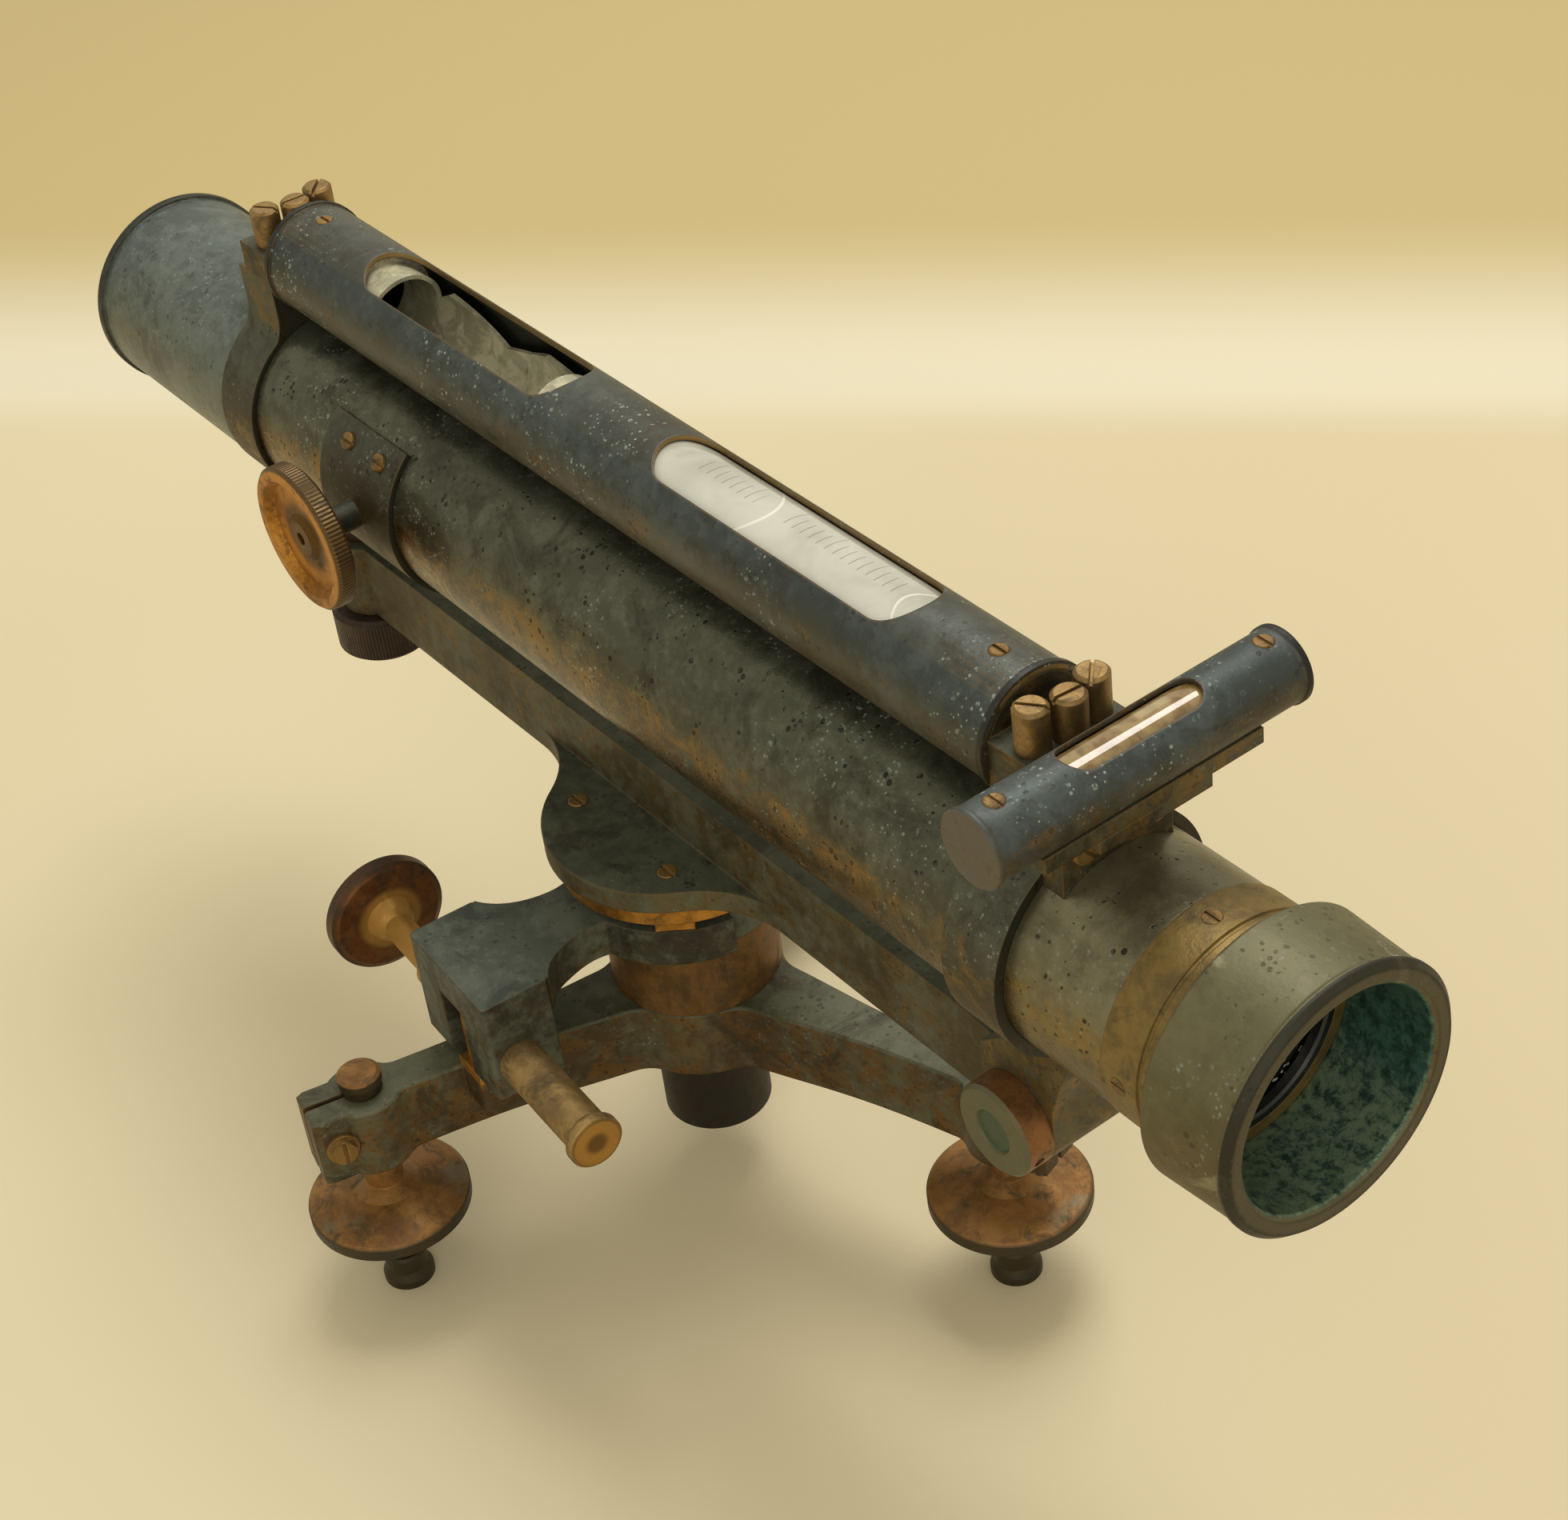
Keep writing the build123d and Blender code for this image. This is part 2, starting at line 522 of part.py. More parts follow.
def tangent_shoe():
    """Non-turning tip of the tangent screw, lying on the tongue."""
    face = TONGUE_WIDTH / 2 + SEAT_GAP
    back = face + TANGENT_SHOE_LENGTH
    outline = [(0, face), (TANGENT_SHOE_RADIUS - 0.5, face), (TANGENT_SHOE_RADIUS, face + 0.5),
               (TANGENT_SHOE_RADIUS, back), (TANGENT_SHANK_RADIUS, back),
               (TANGENT_SHANK_RADIUS, back + TANGENT_SHANK_LENGTH), (0, back + TANGENT_SHANK_LENGTH)]
    return CLAMP_FRAME * turned(outline, (TANGENT_REACH, 0, TANGENT_HEIGHT), (0, -1, 0))


def tangent_screw():
    """Tangent screw with collared stem and milled knob."""
    front = TONGUE_WIDTH / 2 + SEAT_GAP + TANGENT_SHOE_LENGTH + SEAT_GAP
    bore = TANGENT_SHANK_RADIUS + RUNNING_FIT
    face = BLOCK_WIDTH / 2
    collar = face + 3.6
    knob = face + TANGENT_STEM_LENGTH + 5.0
    rim = TANGENT_KNOB_RADIUS
    outline = [(bore, front), (TANGENT_SCREW_RADIUS, front), (TANGENT_SCREW_RADIUS, collar),
               (TANGENT_COLLAR_RADIUS - 0.8, collar), (TANGENT_COLLAR_RADIUS, collar + 0.8),
               (TANGENT_COLLAR_RADIUS, collar + 2.4), (TANGENT_STEM_RADIUS, collar + 3.4),
               (TANGENT_STEM_RADIUS, knob - 5.0), (TANGENT_HUB_RADIUS - 1.4, knob - 3.6),
               (TANGENT_HUB_RADIUS, knob - 1.0), (rim - 1.6, knob), (rim, knob + 1.0),
               (rim, knob + TANGENT_KNOB_THICKNESS - 1.0), (rim - 1.6, knob + TANGENT_KNOB_THICKNESS),
               (0, knob + TANGENT_KNOB_THICKNESS + 0.6), (0, front + TANGENT_SHANK_LENGTH + 1.0),
               (bore, front + TANGENT_SHANK_LENGTH + 1.0)]
    return CLAMP_FRAME * turned(outline, (TANGENT_REACH, 0, TANGENT_HEIGHT), (0, -1, 0))


def spring_barrel():
    """Hollow barrel opposite the tangent screw that houses the return spring."""
    start, face = BLOCK_SLOT_WIDTH / 2, BLOCK_WIDTH / 2
    end = face + BARREL_LENGTH
    bore = PLUNGER_RADIUS + RUNNING_FIT
    room = BARREL_RADIUS - BARREL_WALL
    outline = [(bore, start), (BARREL_SPIGOT_RADIUS, start), (BARREL_SPIGOT_RADIUS, face),
               (BARREL_RADIUS, face), (BARREL_RADIUS, end - BARREL_END_LENGTH - 1.6),
               (BARREL_END_RADIUS, end - BARREL_END_LENGTH), (BARREL_END_RADIUS, end - 0.5),
               (BARREL_END_RADIUS - 0.5, end), (0, end), (0, end - 3.0), (room, end - 3.0),
               (room, face + 2.0), (bore, face + 2.0)]
    return CLAMP_FRAME * turned(outline, (TANGENT_REACH, 0, TANGENT_HEIGHT), (0, 1, 0))


def spring_plunger():
    """Sprung pin that keeps the tongue against the tangent screw."""
    face = TONGUE_WIDTH / 2 + SEAT_GAP
    shoulder = BLOCK_WIDTH / 2 + 2.0 + 4.0
    collar = BARREL_RADIUS - BARREL_WALL - 0.3
    outline = [(0, face), (PLUNGER_RADIUS - 0.6, face), (PLUNGER_RADIUS, face + 0.6), (PLUNGER_RADIUS, shoulder),
               (collar, shoulder), (collar, shoulder + PLUNGER_HEAD_LENGTH), (0, shoulder + PLUNGER_HEAD_LENGTH)]
    return CLAMP_FRAME * turned(outline, (TANGENT_REACH, 0, TANGENT_HEIGHT), (0, 1, 0))


def limb_disc():
    """Brass disc under the stage with a short index lug."""
    ring = rod(LIMB_DISC_RADIUS, (0, 0, DISC_BOTTOM), (0, 0, STAGE_BOTTOM))
    ring = chamfer(ring.edges(), 0.6)
    lug = block((LIMB_DISC_RADIUS - 5, -LIMB_LUG_WIDTH / 2, DISC_BOTTOM - LIMB_LUG_DEPTH),
                (LIMB_DISC_RADIUS - 0.6, LIMB_LUG_WIDTH / 2, DISC_BOTTOM))
    ring += Rot(0, 0, LIMB_LUG_ANGLE) * lug
    ring -= rod(SPINDLE_HEAD_RADIUS, (0, 0, DISC_BOTTOM - 1), (0, 0, STAGE_BOTTOM + 1))
    for place in stage_screw_places():
        ring -= place * rod(STAGE_SCREW_RADIUS, (0, 0, DISC_BOTTOM + 1.5), (0, 0, STAGE_BOTTOM + 1))
    return ring


def spindle():
    """Vertical axis: a long pin in the socket with a broad head in the disc."""
    bottom = TRIPOD_THREAD_DEPTH + SOCKET_WEB + 1.0
    outline = [(0, bottom), (SPINDLE_RADIUS - 1.0, bottom), (SPINDLE_RADIUS, bottom + 1.0),
               (SPINDLE_RADIUS, DISC_BOTTOM), (SPINDLE_HEAD_RADIUS, DISC_BOTTOM),
               (SPINDLE_HEAD_RADIUS, STAGE_BOTTOM), (0, STAGE_BOTTOM)]
    return turned(outline)


def stage_screw_places():
    return [Pos(sx * STAGE_SCREW_X, sy * STAGE_SCREW_Y, 0) for sx in (-1, 1) for sy in (-1, 1)]


def stage_screws():
    length = STAGE_THICKNESS + LIMB_DISC_THICKNESS - 1.5
    screw = Pos(0, 0, STAGE_TOP - 0.9) * slotted_head(STAGE_SCREW_HEAD, 1.2, STAGE_SCREW_RADIUS, length - 0.9)
    return [place * screw for place in stage_screw_places()]


def bar_outline():
    """Side view of the bar: square far end, tapered near end round the pivot eye."""
    half = BAR_HEIGHT / 2
    far = -TILT_REACH
    taper = PIVOT_X - FORK_BARREL_RADIUS - BAR_END_TAPER
    eye_top = (PIVOT_X, BAR_EYE_RADIUS)
    flat = Polygon((far, -half), (taper, -half), (PIVOT_X, -BAR_EYE_RADIUS), eye_top, (taper, half),
                   (far, half), align=None)
    return flat + Pos(PIVOT_X, 0) * Circle(BAR_EYE_RADIUS)


def limb_bar():
    """Deep bar on its round stage, with the boss of the tilting screw at the far end."""
    half = BAR_THICKNESS / 2
    side = Plane((0, half, BAR_AXIS), x_dir=(1, 0, 0), z_dir=(0, -1, 0))
    web = extrude(side * bar_outline(), BAR_THICKNESS)
    reach = STAGE_RADIUS + STAGE_BLEND + 4
    plan = Circle(STAGE_RADIUS) + Rectangle(2 * reach, BAR_THICKNESS)
    corners = [v for v in plan.vertices() if abs(Vector(v.X, v.Y, 0).length - STAGE_RADIUS) < 0.5]
    plan = fillet(corners, STAGE_BLEND)
    stage = Pos(0, 0, STAGE_BOTTOM) * extrude(plan, STAGE_THICKNESS)
    rise = stage_rise()
    boss = rod(TILT_BOSS_RADIUS, (-TILT_REACH, 0, STAGE_BOTTOM), (-TILT_REACH, 0, BAR_TOP))
    bar = web + stage + rise + boss
    bar -= rod(PIVOT_PIN_RADIUS + RUNNING_FIT, (PIVOT_X, -half - 1, BAR_AXIS), (PIVOT_X, half + 1, BAR_AXIS))
    bar -= rod(TILT_PLUNGER_RADIUS + RUNNING_FIT, (-TILT_REACH, 0, STAGE_BOTTOM + TILT_WEB),
               (-TILT_REACH, 0, BAR_TOP + 1))
    bar -= rod(TILT_SCREW_RADIUS + RUNNING_FIT, (-TILT_REACH, 0, STAGE_BOTTOM - 1), (-TILT_REACH, 0, BAR_TOP))
    for place in stage_screw_places():
        bar -= place * rod(STAGE_SCREW_RADIUS, (0, 0, STAGE_BOTTOM - 1), (0, 0, STAGE_TOP + 1))
        bar -= place * rod(STAGE_SCREW_HEAD, (0, 0, STAGE_TOP - 0.9), (0, 0, STAGE_TOP + STAGE_RISE))
    return bar


def stage_rise():
    """Hollow-sided ramp from the stage up to the bar, within the round of the stage."""
    half = BAR_THICKNESS / 2
    foot = half + STAGE_RISE
    outline = [Line((-half, 0), (-foot, 0)), RadiusArc((-foot, 0), (-half, STAGE_RISE), STAGE_RISE),
               Line((-half, STAGE_RISE), (half, STAGE_RISE)),
               RadiusArc((half, STAGE_RISE), (foot, 0), STAGE_RISE), Line((foot, 0), (-half, 0))]
    across = Plane((-STAGE_RADIUS, 0, STAGE_TOP), x_dir=(0, 1, 0), z_dir=(1, 0, 0))
    face = make_face([across * edge for edge in outline])
    ramp = extrude(face, 2 * STAGE_RADIUS)
    return ramp & rod(STAGE_RADIUS, (0, 0, STAGE_BOTTOM), (0, 0, BAR_TOP))


def tilt_plunger():
    """Non-turning plunger that lifts the far leg, threaded on the tilting screw."""
    top = FAR_LEG_FOOT - SEAT_GAP
    bottom = top - TILT_PLUNGER_LENGTH
    bore = TILT_SCREW_RADIUS + RUNNING_FIT
    roof = BAR_TOP - TILT_TRAVEL
    outline = [(bore, bottom), (TILT_PLUNGER_RADIUS, bottom), (TILT_PLUNGER_RADIUS, top - 1.2),
               (TILT_PLUNGER_RADIUS - 1.2, top), (0, top), (0, roof + 2 * TILT_TRAVEL), (bore, roof + 2 * TILT_TRAVEL)]
    return turned(outline, (-TILT_REACH, 0, 0))


def tilt_screw():
    """Tilting screw that hangs under the bar with a deep drum head."""
    top = STAGE_BOTTOM - SEAT_GAP
    bottom = top - TILT_HEAD_HEIGHT
    tip = BAR_TOP - TILT_TRAVEL - 1.0
    rim = TILT_HEAD_RADIUS
    outline = [(0, bottom), (rim - 1.4, bottom), (rim, bottom + 1.2), (rim, top - 1.2), (rim - 1.2, top),
               (TILT_SCREW_RADIUS, top), (TILT_SCREW_RADIUS, tip), (0, tip)]
    return turned(outline, (-TILT_REACH, 0, 0))


def pedestal(ring_radius, half_top, half_flare, height):
    """Section of a collar's pedestal: straight top with hollow flares on to the ring."""
    start = math.sqrt(ring_radius ** 2 - half_flare ** 2) - 0.6
    knee = start + PEDESTAL_FLARE_RISE
    right = Spline((half_flare, start), (half_top, knee), tangents=((-0.8, 0.6), (0, 1)))
    left = Spline((-half_top, knee), (-half_flare, start), tangents=((0, -1), (-0.8, -0.6)))
    lines = [right, Line((half_top, knee), (half_top, height)), Line((half_top, height), (-half_top, height)),
             Line((-half_top, height), (-half_top, knee)), left, Line((-half_flare, start), (half_flare, start))]
    return make_face(lines)


def collar_section(ring_radius):
    return Circle(ring_radius) + pedestal(ring_radius, PEDESTAL_WIDTH / 2, PEDESTAL_FLARE / 2, PEDESTAL_TOP)


def section_plane(x):
    """Plane across the telescope, with Y to its right and Z up."""
    return Plane((x, 0, TELESCOPE_HEIGHT), x_dir=(0, 1, 0), z_dir=(1, 0, 0))


def near_collar():
    """Collar between tube and nose, with the forked leg that hangs on the pivot."""
    body = extrude(section_plane(NEAR_COLLAR_START) * collar_section(NEAR_COLLAR_RADIUS), NEAR_COLLAR_LENGTH)
    half = FORK_WIDTH / 2
    ring_bottom = TELESCOPE_HEIGHT - NEAR_COLLAR_RADIUS
    left, right = PIVOT_X - FORK_BARREL_RADIUS, PIVOT_X + FORK_BARREL_RADIUS
    leg = Polygon((left, BAR_AXIS), (right, BAR_AXIS), (right, BAR_AXIS + FORK_FRONT_RISE), (NEAR_COLLAR_END, ring_bottom),
                  (NEAR_COLLAR_END, ring_bottom + 9), (NEAR_COLLAR_START, ring_bottom + 9),
                  (NEAR_COLLAR_START, ring_bottom - 3), (left, BAR_AXIS + FORK_SHOULDER_RISE), align=None)
    side = Plane((0, half, 0), x_dir=(1, 0, 0), z_dir=(0, -1, 0))
    leg += Pos(PIVOT_X, BAR_AXIS) * Circle(FORK_BARREL_RADIUS)
    body += extrude(side * leg, FORK_WIDTH)
    gap = BAR_THICKNESS / 2 + SIDE_FIT
    wall = right - FORK_FRONT_WALL
    slot_top = BAR_TOP + FORK_SLOT_CLEARANCE
    body -= block((left - FORK_SLOT_REACH, -gap, BAR_AXIS - 2 * FORK_BARREL_RADIUS), (wall, gap, slot_top))
    body -= pipe_cut()
    hole = rod(PIVOT_PIN_RADIUS, (PIVOT_X, -half - 1, BAR_AXIS), (PIVOT_X, half + 1, BAR_AXIS))
    body -= hole
    return body - stud_holes(near_nut_places())


def pipe_cut():
    """Bores of the near collar for the tube and for the slightly wider nose."""
    low = rod(TUBE_RADIUS, (NEAR_COLLAR_START - 1, 0, TELESCOPE_HEIGHT), (COLLAR_MIDDLE, 0, TELESCOPE_HEIGHT))
    return low + rod(NOSE_RADIUS, (COLLAR_MIDDLE, 0, TELESCOPE_HEIGHT), (NEAR_COLLAR_END + 1, 0, TELESCOPE_HEIGHT))


def far_collar():
    """Collar at the eye end, with pedestal above and the leg over the tilting screw below."""
    section = collar_section(FAR_COLLAR_RADIUS)
    depth = TELESCOPE_HEIGHT - FAR_LEG_FOOT
    leg = pedestal(FAR_COLLAR_RADIUS, FAR_LEG_WIDTH / 2, FAR_LEG_FLARE / 2, depth)
    section += mirror(leg, Plane.XZ)
    body = extrude(section_plane(FAR_COLLAR_END) * section, FAR_COLLAR_LENGTH)
    body -= rod(TUBE_RADIUS, (FAR_COLLAR_END - 1, 0, TELESCOPE_HEIGHT), (FAR_COLLAR_START + 1, 0, TELESCOPE_HEIGHT))
    return body - stud_holes(far_nut_places())


def main_tube():
    """Body tube with the hole for the pinion boss."""
    tube = pipe_x(TUBE_RADIUS, TUBE_BORE, FAR_COLLAR_END, COLLAR_MIDDLE)
    hole = rod(BOSS_RADIUS, (PINION_X, 0, TELESCOPE_HEIGHT), (PINION_X, -2 * TUBE_RADIUS, TELESCOPE_HEIGHT))
    return tube - hole


def nose_tube():
    return pipe_x(NOSE_RADIUS, NOSE_RADIUS - NOSE_WALL, COLLAR_MIDDLE, NOSE_END)


def cell_ring():
    """Brass objective cell: a spigot in the nose, a grooved ring and the lens seat."""
    bore = NOSE_RADIUS - NOSE_WALL
    groove = NOSE_END + CELL_GROOVE
    seat = CELL_BORE - 1.5
    outline = [(seat, NOSE_END - CELL_SPIGOT), (bore, NOSE_END - CELL_SPIGOT), (bore, NOSE_END),
               (CELL_RADIUS, NOSE_END), (CELL_RADIUS, groove), (CELL_RADIUS - 0.5, groove + 0.3),
               (CELL_RADIUS - 0.5, groove + 0.9), (CELL_RADIUS, groove + 1.2), (CELL_RADIUS, CELL_END),
               (CELL_BORE, CELL_END), (CELL_BORE, lens_seat()), (seat, lens_seat())]
    ring = turned(outline, (0, 0, TELESCOPE_HEIGHT), (1, 0, 0))
    return ring - cell_screw_group(0)


def lens_seat():
    return CELL_END - RETAINER_LENGTH - LENS_EDGE


def cell_screw_group(proud):
    """Four countersunk screws that hold the cell on the nose."""
    screws = []
    for quarter in range(4):
        turn = Plane((NOSE_END + 4.6, 0, TELESCOPE_HEIGHT)) * Rot(2.5 + 90 * quarter, 0, 0)
        head = Pos(0, 0, CELL_RADIUS - 0.9) * Cylinder(1.9, 0.9, align=(Align.CENTER, Align.CENTER, Align.MIN))
        if proud:
            head -= Pos(0, 0, CELL_RADIUS) * Box(5, 0.5, 0.8)
        screws.append(turn * head)
    return screws


def hood():
    """Thick-walled ray shade with a beaded front rim."""
    bead = HOOD_END - HOOD_BEAD
    round_in = HOOD_MOUTH_ROUND
    outline = [(HOOD_BORE, CELL_END), (HOOD_BACK_RADIUS - 0.8, CELL_END), (HOOD_BACK_RADIUS, CELL_END + 0.8),
               (HOOD_FRONT_RADIUS - 0.4, bead - 0.5), (HOOD_FRONT_RADIUS - 0.4, bead), (HOOD_FRONT_RADIUS, bead + 0.5),
               (HOOD_FRONT_RADIUS, HOOD_END - round_in), (HOOD_FRONT_RADIUS - round_in, HOOD_END),
               (HOOD_BORE + round_in, HOOD_END), (HOOD_BORE, HOOD_END - round_in)]
    return turned(outline, (0, 0, TELESCOPE_HEIGHT), (1, 0, 0))


def lens_face(radius, edge_height, rise, towards=1):
    """Half section of a spherical lens face: an arc whose centre is on the axis."""
    curve = (radius ** 2 + rise ** 2) / (2 * rise)
    middle = radius / 2
    height = math.sqrt(curve ** 2 - middle ** 2) - curve + rise
    return ThreePointArc((0, edge_height + towards * rise), (middle, edge_height + towards * height),
                         (radius, edge_height))


def lens(radius, back, front, back_rise, front_rise, direction):
    """A lens on the telescope's axis between two edge planes."""
    edges = [Line((0, back - back_rise), (0, front + front_rise)), lens_face(radius, front, front_rise),
             Line((radius, front), (radius, back))]
    if back_rise:
        edges.append(lens_face(radius, back, back_rise, -1))
    else:
        edges.append(Line((radius, back), (0, back)))
    face = make_face([Plane.XZ * edge for edge in edges])
    return Plane(origin=(0, 0, TELESCOPE_HEIGHT), z_dir=(direction, 0, 0)) * revolve(face, Axis.Z)


def objective_lens():
    """Plano-convex objective on its seat in the cell."""
    return lens(CELL_BORE, lens_seat(), lens_seat() + LENS_EDGE, 0, LENS_BULGE, 1)


def lens_retainer():
    """Ring that holds the objective in its cell, relieved behind for the lens."""
    start = lens_seat() + LENS_EDGE
    inner = CELL_BORE - RETAINER_WALL
    outline = [(CELL_BORE, start), (CELL_BORE, CELL_END), (inner + 0.5, CELL_END), (inner, CELL_END - 0.5),
               (inner, start + 0.7)]
    return turned(outline, (0, 0, TELESCOPE_HEIGHT), (1, 0, 0))


def guard_hood():
    """Open tube round the eyepiece with a thin lip at its far end."""
    lip = GUARD_END + GUARD_LIP_LENGTH
    inner = GUARD_RADIUS - GUARD_WALL
    outline = [(inner, FAR_COLLAR_END), (GUARD_RADIUS, FAR_COLLAR_END), (GUARD_RADIUS, lip),
               (GUARD_LIP_RADIUS, lip), (GUARD_LIP_RADIUS, GUARD_END), (inner, GUARD_END)]
    return turned(outline, (0, 0, TELESCOPE_HEIGHT), (1, 0, 0))


def guide_ring(start, end, notched):
    """Ring in the body tube that the draw tube slides in."""
    ring = pipe_x(TUBE_BORE, DRAW_RADIUS + RUNNING_FIT, start, end)
    if notched:
        low = (start - 1, -TUBE_BORE, TELESCOPE_HEIGHT - PITCH_RADIUS - RACK_DEPTH - 1.5)
        ring -= block(low, (end + 1, -DRAW_RADIUS + 3, TELESCOPE_HEIGHT + PITCH_RADIUS))
    return ring


def draw_tube():
    return pipe_x(DRAW_RADIUS, DRAW_RADIUS - DRAW_WALL, DRAW_REAR, DRAW_FRONT)


def involute_flank(base_radius, outer_radius, steps=5):
    """Points of an involute from the base circle out, as (radius, angle)."""
    points = []
    for step in range(steps + 1):
        radius = base_radius + (outer_radius - base_radius) * step / steps
        roll = math.sqrt(max((radius / base_radius) ** 2 - 1, 0))
        points.append((radius, roll - math.atan(roll)))
    return points


def pinion_tooth():
    """One tooth about the X axis of the sketch, as a closed outline down to the root."""
    pressure = math.radians(PRESSURE_ANGLE)
    base = PITCH_RADIUS * math.cos(pressure)
    outer = PITCH_RADIUS + GEAR_MODULE
    root = PITCH_RADIUS - 1.2 * GEAR_MODULE
    half_pitch = math.pi / (2 * PINION_TEETH) - TOOTH_BACKLASH / (2 * PITCH_RADIUS)
    lead = half_pitch + math.tan(pressure) - pressure
    flank = [(radius, lead - angle) for radius, angle in involute_flank(base, outer)]
    flank.insert(0, (root * 0.9, lead))
    lower = [(r * math.cos(a), -r * math.sin(a)) for r, a in flank]
    upper = [(x, -y) for x, y in reversed(lower)]
    return Polygon(*lower, *upper, align=None)


def pinion():
    """Pinion cut from one piece with its shaft, which carries the focusing knob."""
    inner_end = TUBE_BORE - 0.9
    face = Plane((PINION_X, -inner_end, TELESCOPE_HEIGHT), x_dir=(1, 0, 0), z_dir=(0, 1, 0))
    wheel = extrude(face * Circle(PITCH_RADIUS - 1.2 * GEAR_MODULE), PINION_FACE)
    tooth = pinion_tooth()
    for index in range(PINION_TEETH):
        wheel += extrude(face * Rot(0, 0, -90 + index * 360 / PINION_TEETH) * tooth, PINION_FACE)
    outer = (PINION_X, -(KNOB_INNER_FACE + KNOB_THICKNESS - KNOB_DISH), TELESCOPE_HEIGHT)
    shaft = rod(PINION_SHAFT_RADIUS, (PINION_X, -inner_end + PINION_FACE, TELESCOPE_HEIGHT), outer)
    return wheel + shaft


def focus_rack():
    """Toothed rack on the side of the draw tube, under the pinion."""
    pitch = math.pi * GEAR_MODULE
    slope = math.tan(math.radians(PRESSURE_ANGLE))
    half = pitch / 4 - TOOTH_BACKLASH / 2
    tip, root = 0.75 * GEAR_MODULE, -1.25 * GEAR_MODULE
    first = -(RACK_TEETH // 2) * pitch
    points = []
    for index in range(RACK_TEETH):
        middle = first + index * pitch + pitch / 2
        points += [(middle - half + slope * root, root), (middle - half + slope * tip, tip),
                   (middle + half - slope * tip, tip), (middle + half - slope * root, root)]
    end = points[-1][0]
    base = root - RACK_DEPTH
    outline = [(points[0][0], base)] + points + [(end, base)]
    inner_end = TUBE_BORE - 0.9
    side = Plane((PINION_X, -inner_end + 1.0, TELESCOPE_HEIGHT - PITCH_RADIUS), x_dir=(1, 0, 0), z_dir=(0, -1, 0))
    width = PINION_FACE + 4.0
    bar = extrude(side * make_face(Polyline(*outline, close=True)), -width)
    return bar - rod(DRAW_RADIUS, (DRAW_REAR, 0, TELESCOPE_HEIGHT), (DRAW_FRONT, 0, TELESCOPE_HEIGHT))


def pinion_plate():
    """Curved saddle plate with the boss that the pinion shaft turns in."""
    shell = pipe_x(TUBE_RADIUS + PLATE_THICKNESS, TUBE_RADIUS, PLATE_START, PLATE_START + PLATE_LENGTH)
    reach = 2 * TUBE_RADIUS
    upper, lower = math.radians(PLATE_UPPER_ANGLE), math.radians(PLATE_LOWER_ANGLE)
    wedge = Polygon((0, 0), (-reach * math.cos(upper), reach * math.sin(upper)),
                    (-2 * reach, 0), (-reach * math.cos(lower), reach * math.sin(lower)), align=None)
    shell &= extrude(section_plane(PLATE_START) * wedge, PLATE_LENGTH)
    boss = rod(BOSS_RADIUS, (PINION_X, -TUBE_BORE + 0.4, TELESCOPE_HEIGHT), (PINION_X, -BOSS_END, TELESCOPE_HEIGHT))
    plate = shell + boss
    plate -= rod(PINION_SHAFT_RADIUS + RUNNING_FIT, (PINION_X, 0, TELESCOPE_HEIGHT),
                 (PINION_X, -BOSS_END - 1, TELESCOPE_HEIGHT))
    return plate


def plate_screws():
    """Two slotted screws on the upper flap of the saddle plate."""
    rise = math.radians(PLATE_SCREW_ANGLE)
    out = Vector(0, -math.cos(rise), math.sin(rise))
    screw = slotted_head(PLATE_SCREW_RADIUS, PLATE_SCREW_RISE)
    radius = TUBE_RADIUS + PLATE_THICKNESS
    centre = Vector(0, 0, TELESCOPE_HEIGHT)
    return [Plane(Vector(x, 0, 0) + centre + out * radius, x_dir=(1, 0, 0), z_dir=out) * screw
            for x in PLATE_SCREW_X]


def focus_knob():
    """Milled knob with a dished outer face and a round hub."""
    rim, back = KNOB_RADIUS, KNOB_INNER_FACE
    front = back + KNOB_THICKNESS
    dish = front - KNOB_DISH
    hub_back = BOSS_END + SEAT_GAP
    outline = [(PINION_SHAFT_RADIUS, hub_back), (KNOB_HUB_RADIUS, hub_back), (KNOB_HUB_RADIUS + 1.5, back),
               (rim - 1.0, back), (rim, back + 0.8), (rim, front - 0.8), (rim - 0.8, front),
               (rim - KNOB_RIM, front), (rim - KNOB_RIM - 1.6, dish), (KNOB_HUB_RADIUS + 1.0, dish),
               (KNOB_HUB_RADIUS - 0.6, dish + 1.2), (PINION_SHAFT_RADIUS, dish + 1.2)]
    return turned(outline, (PINION_X, 0, TELESCOPE_HEIGHT), (0, -1, 0))


def eyepiece():
    """Push-fit eyepiece barrel with a flared eyecup."""
    outer = DRAW_RADIUS - DRAW_WALL - RUNNING_FIT
    inner = outer - EYEPIECE_WALL
    front = -(DRAW_REAR + EYEPIECE_INSERT)
    cup = -EYEPIECE_REAR - EYECUP_LENGTH
    rear = -EYEPIECE_REAR
    outline = [(inner, front), (outer, front), (outer, cup), (EYECUP_RADIUS - 1.0, cup), (EYECUP_RADIUS, cup + 1.0),
               (EYECUP_RADIUS, rear - 1.5), (EYECUP_RADIUS - 1.5, rear), (EYE_HOLE_RADIUS + 3.0, rear - 1.5),
               (EYE_HOLE_RADIUS, cup + 2.4), (EYE_HOLE_RADIUS, cup + 0.8), (inner, cup + 0.8)]
    return turned(outline, (0, 0, TELESCOPE_HEIGHT), (-1, 0, 0))


def eye_lens():
    """Plano-convex eye lens against the eyecup's shoulder."""
    inner = DRAW_RADIUS - DRAW_WALL - RUNNING_FIT - EYEPIECE_WALL
    back = EYEPIECE_REAR + EYECUP_LENGTH - 0.8
    return lens(inner, back, back + EYE_LENS_EDGE, 0, EYE_LENS_BULGE, 1)


def reticle_ring():
    outer = DRAW_RADIUS - DRAW_WALL
    return pipe_x(outer, RETICLE_OPENING, RETICLE_X, RETICLE_X + RETICLE_LENGTH)


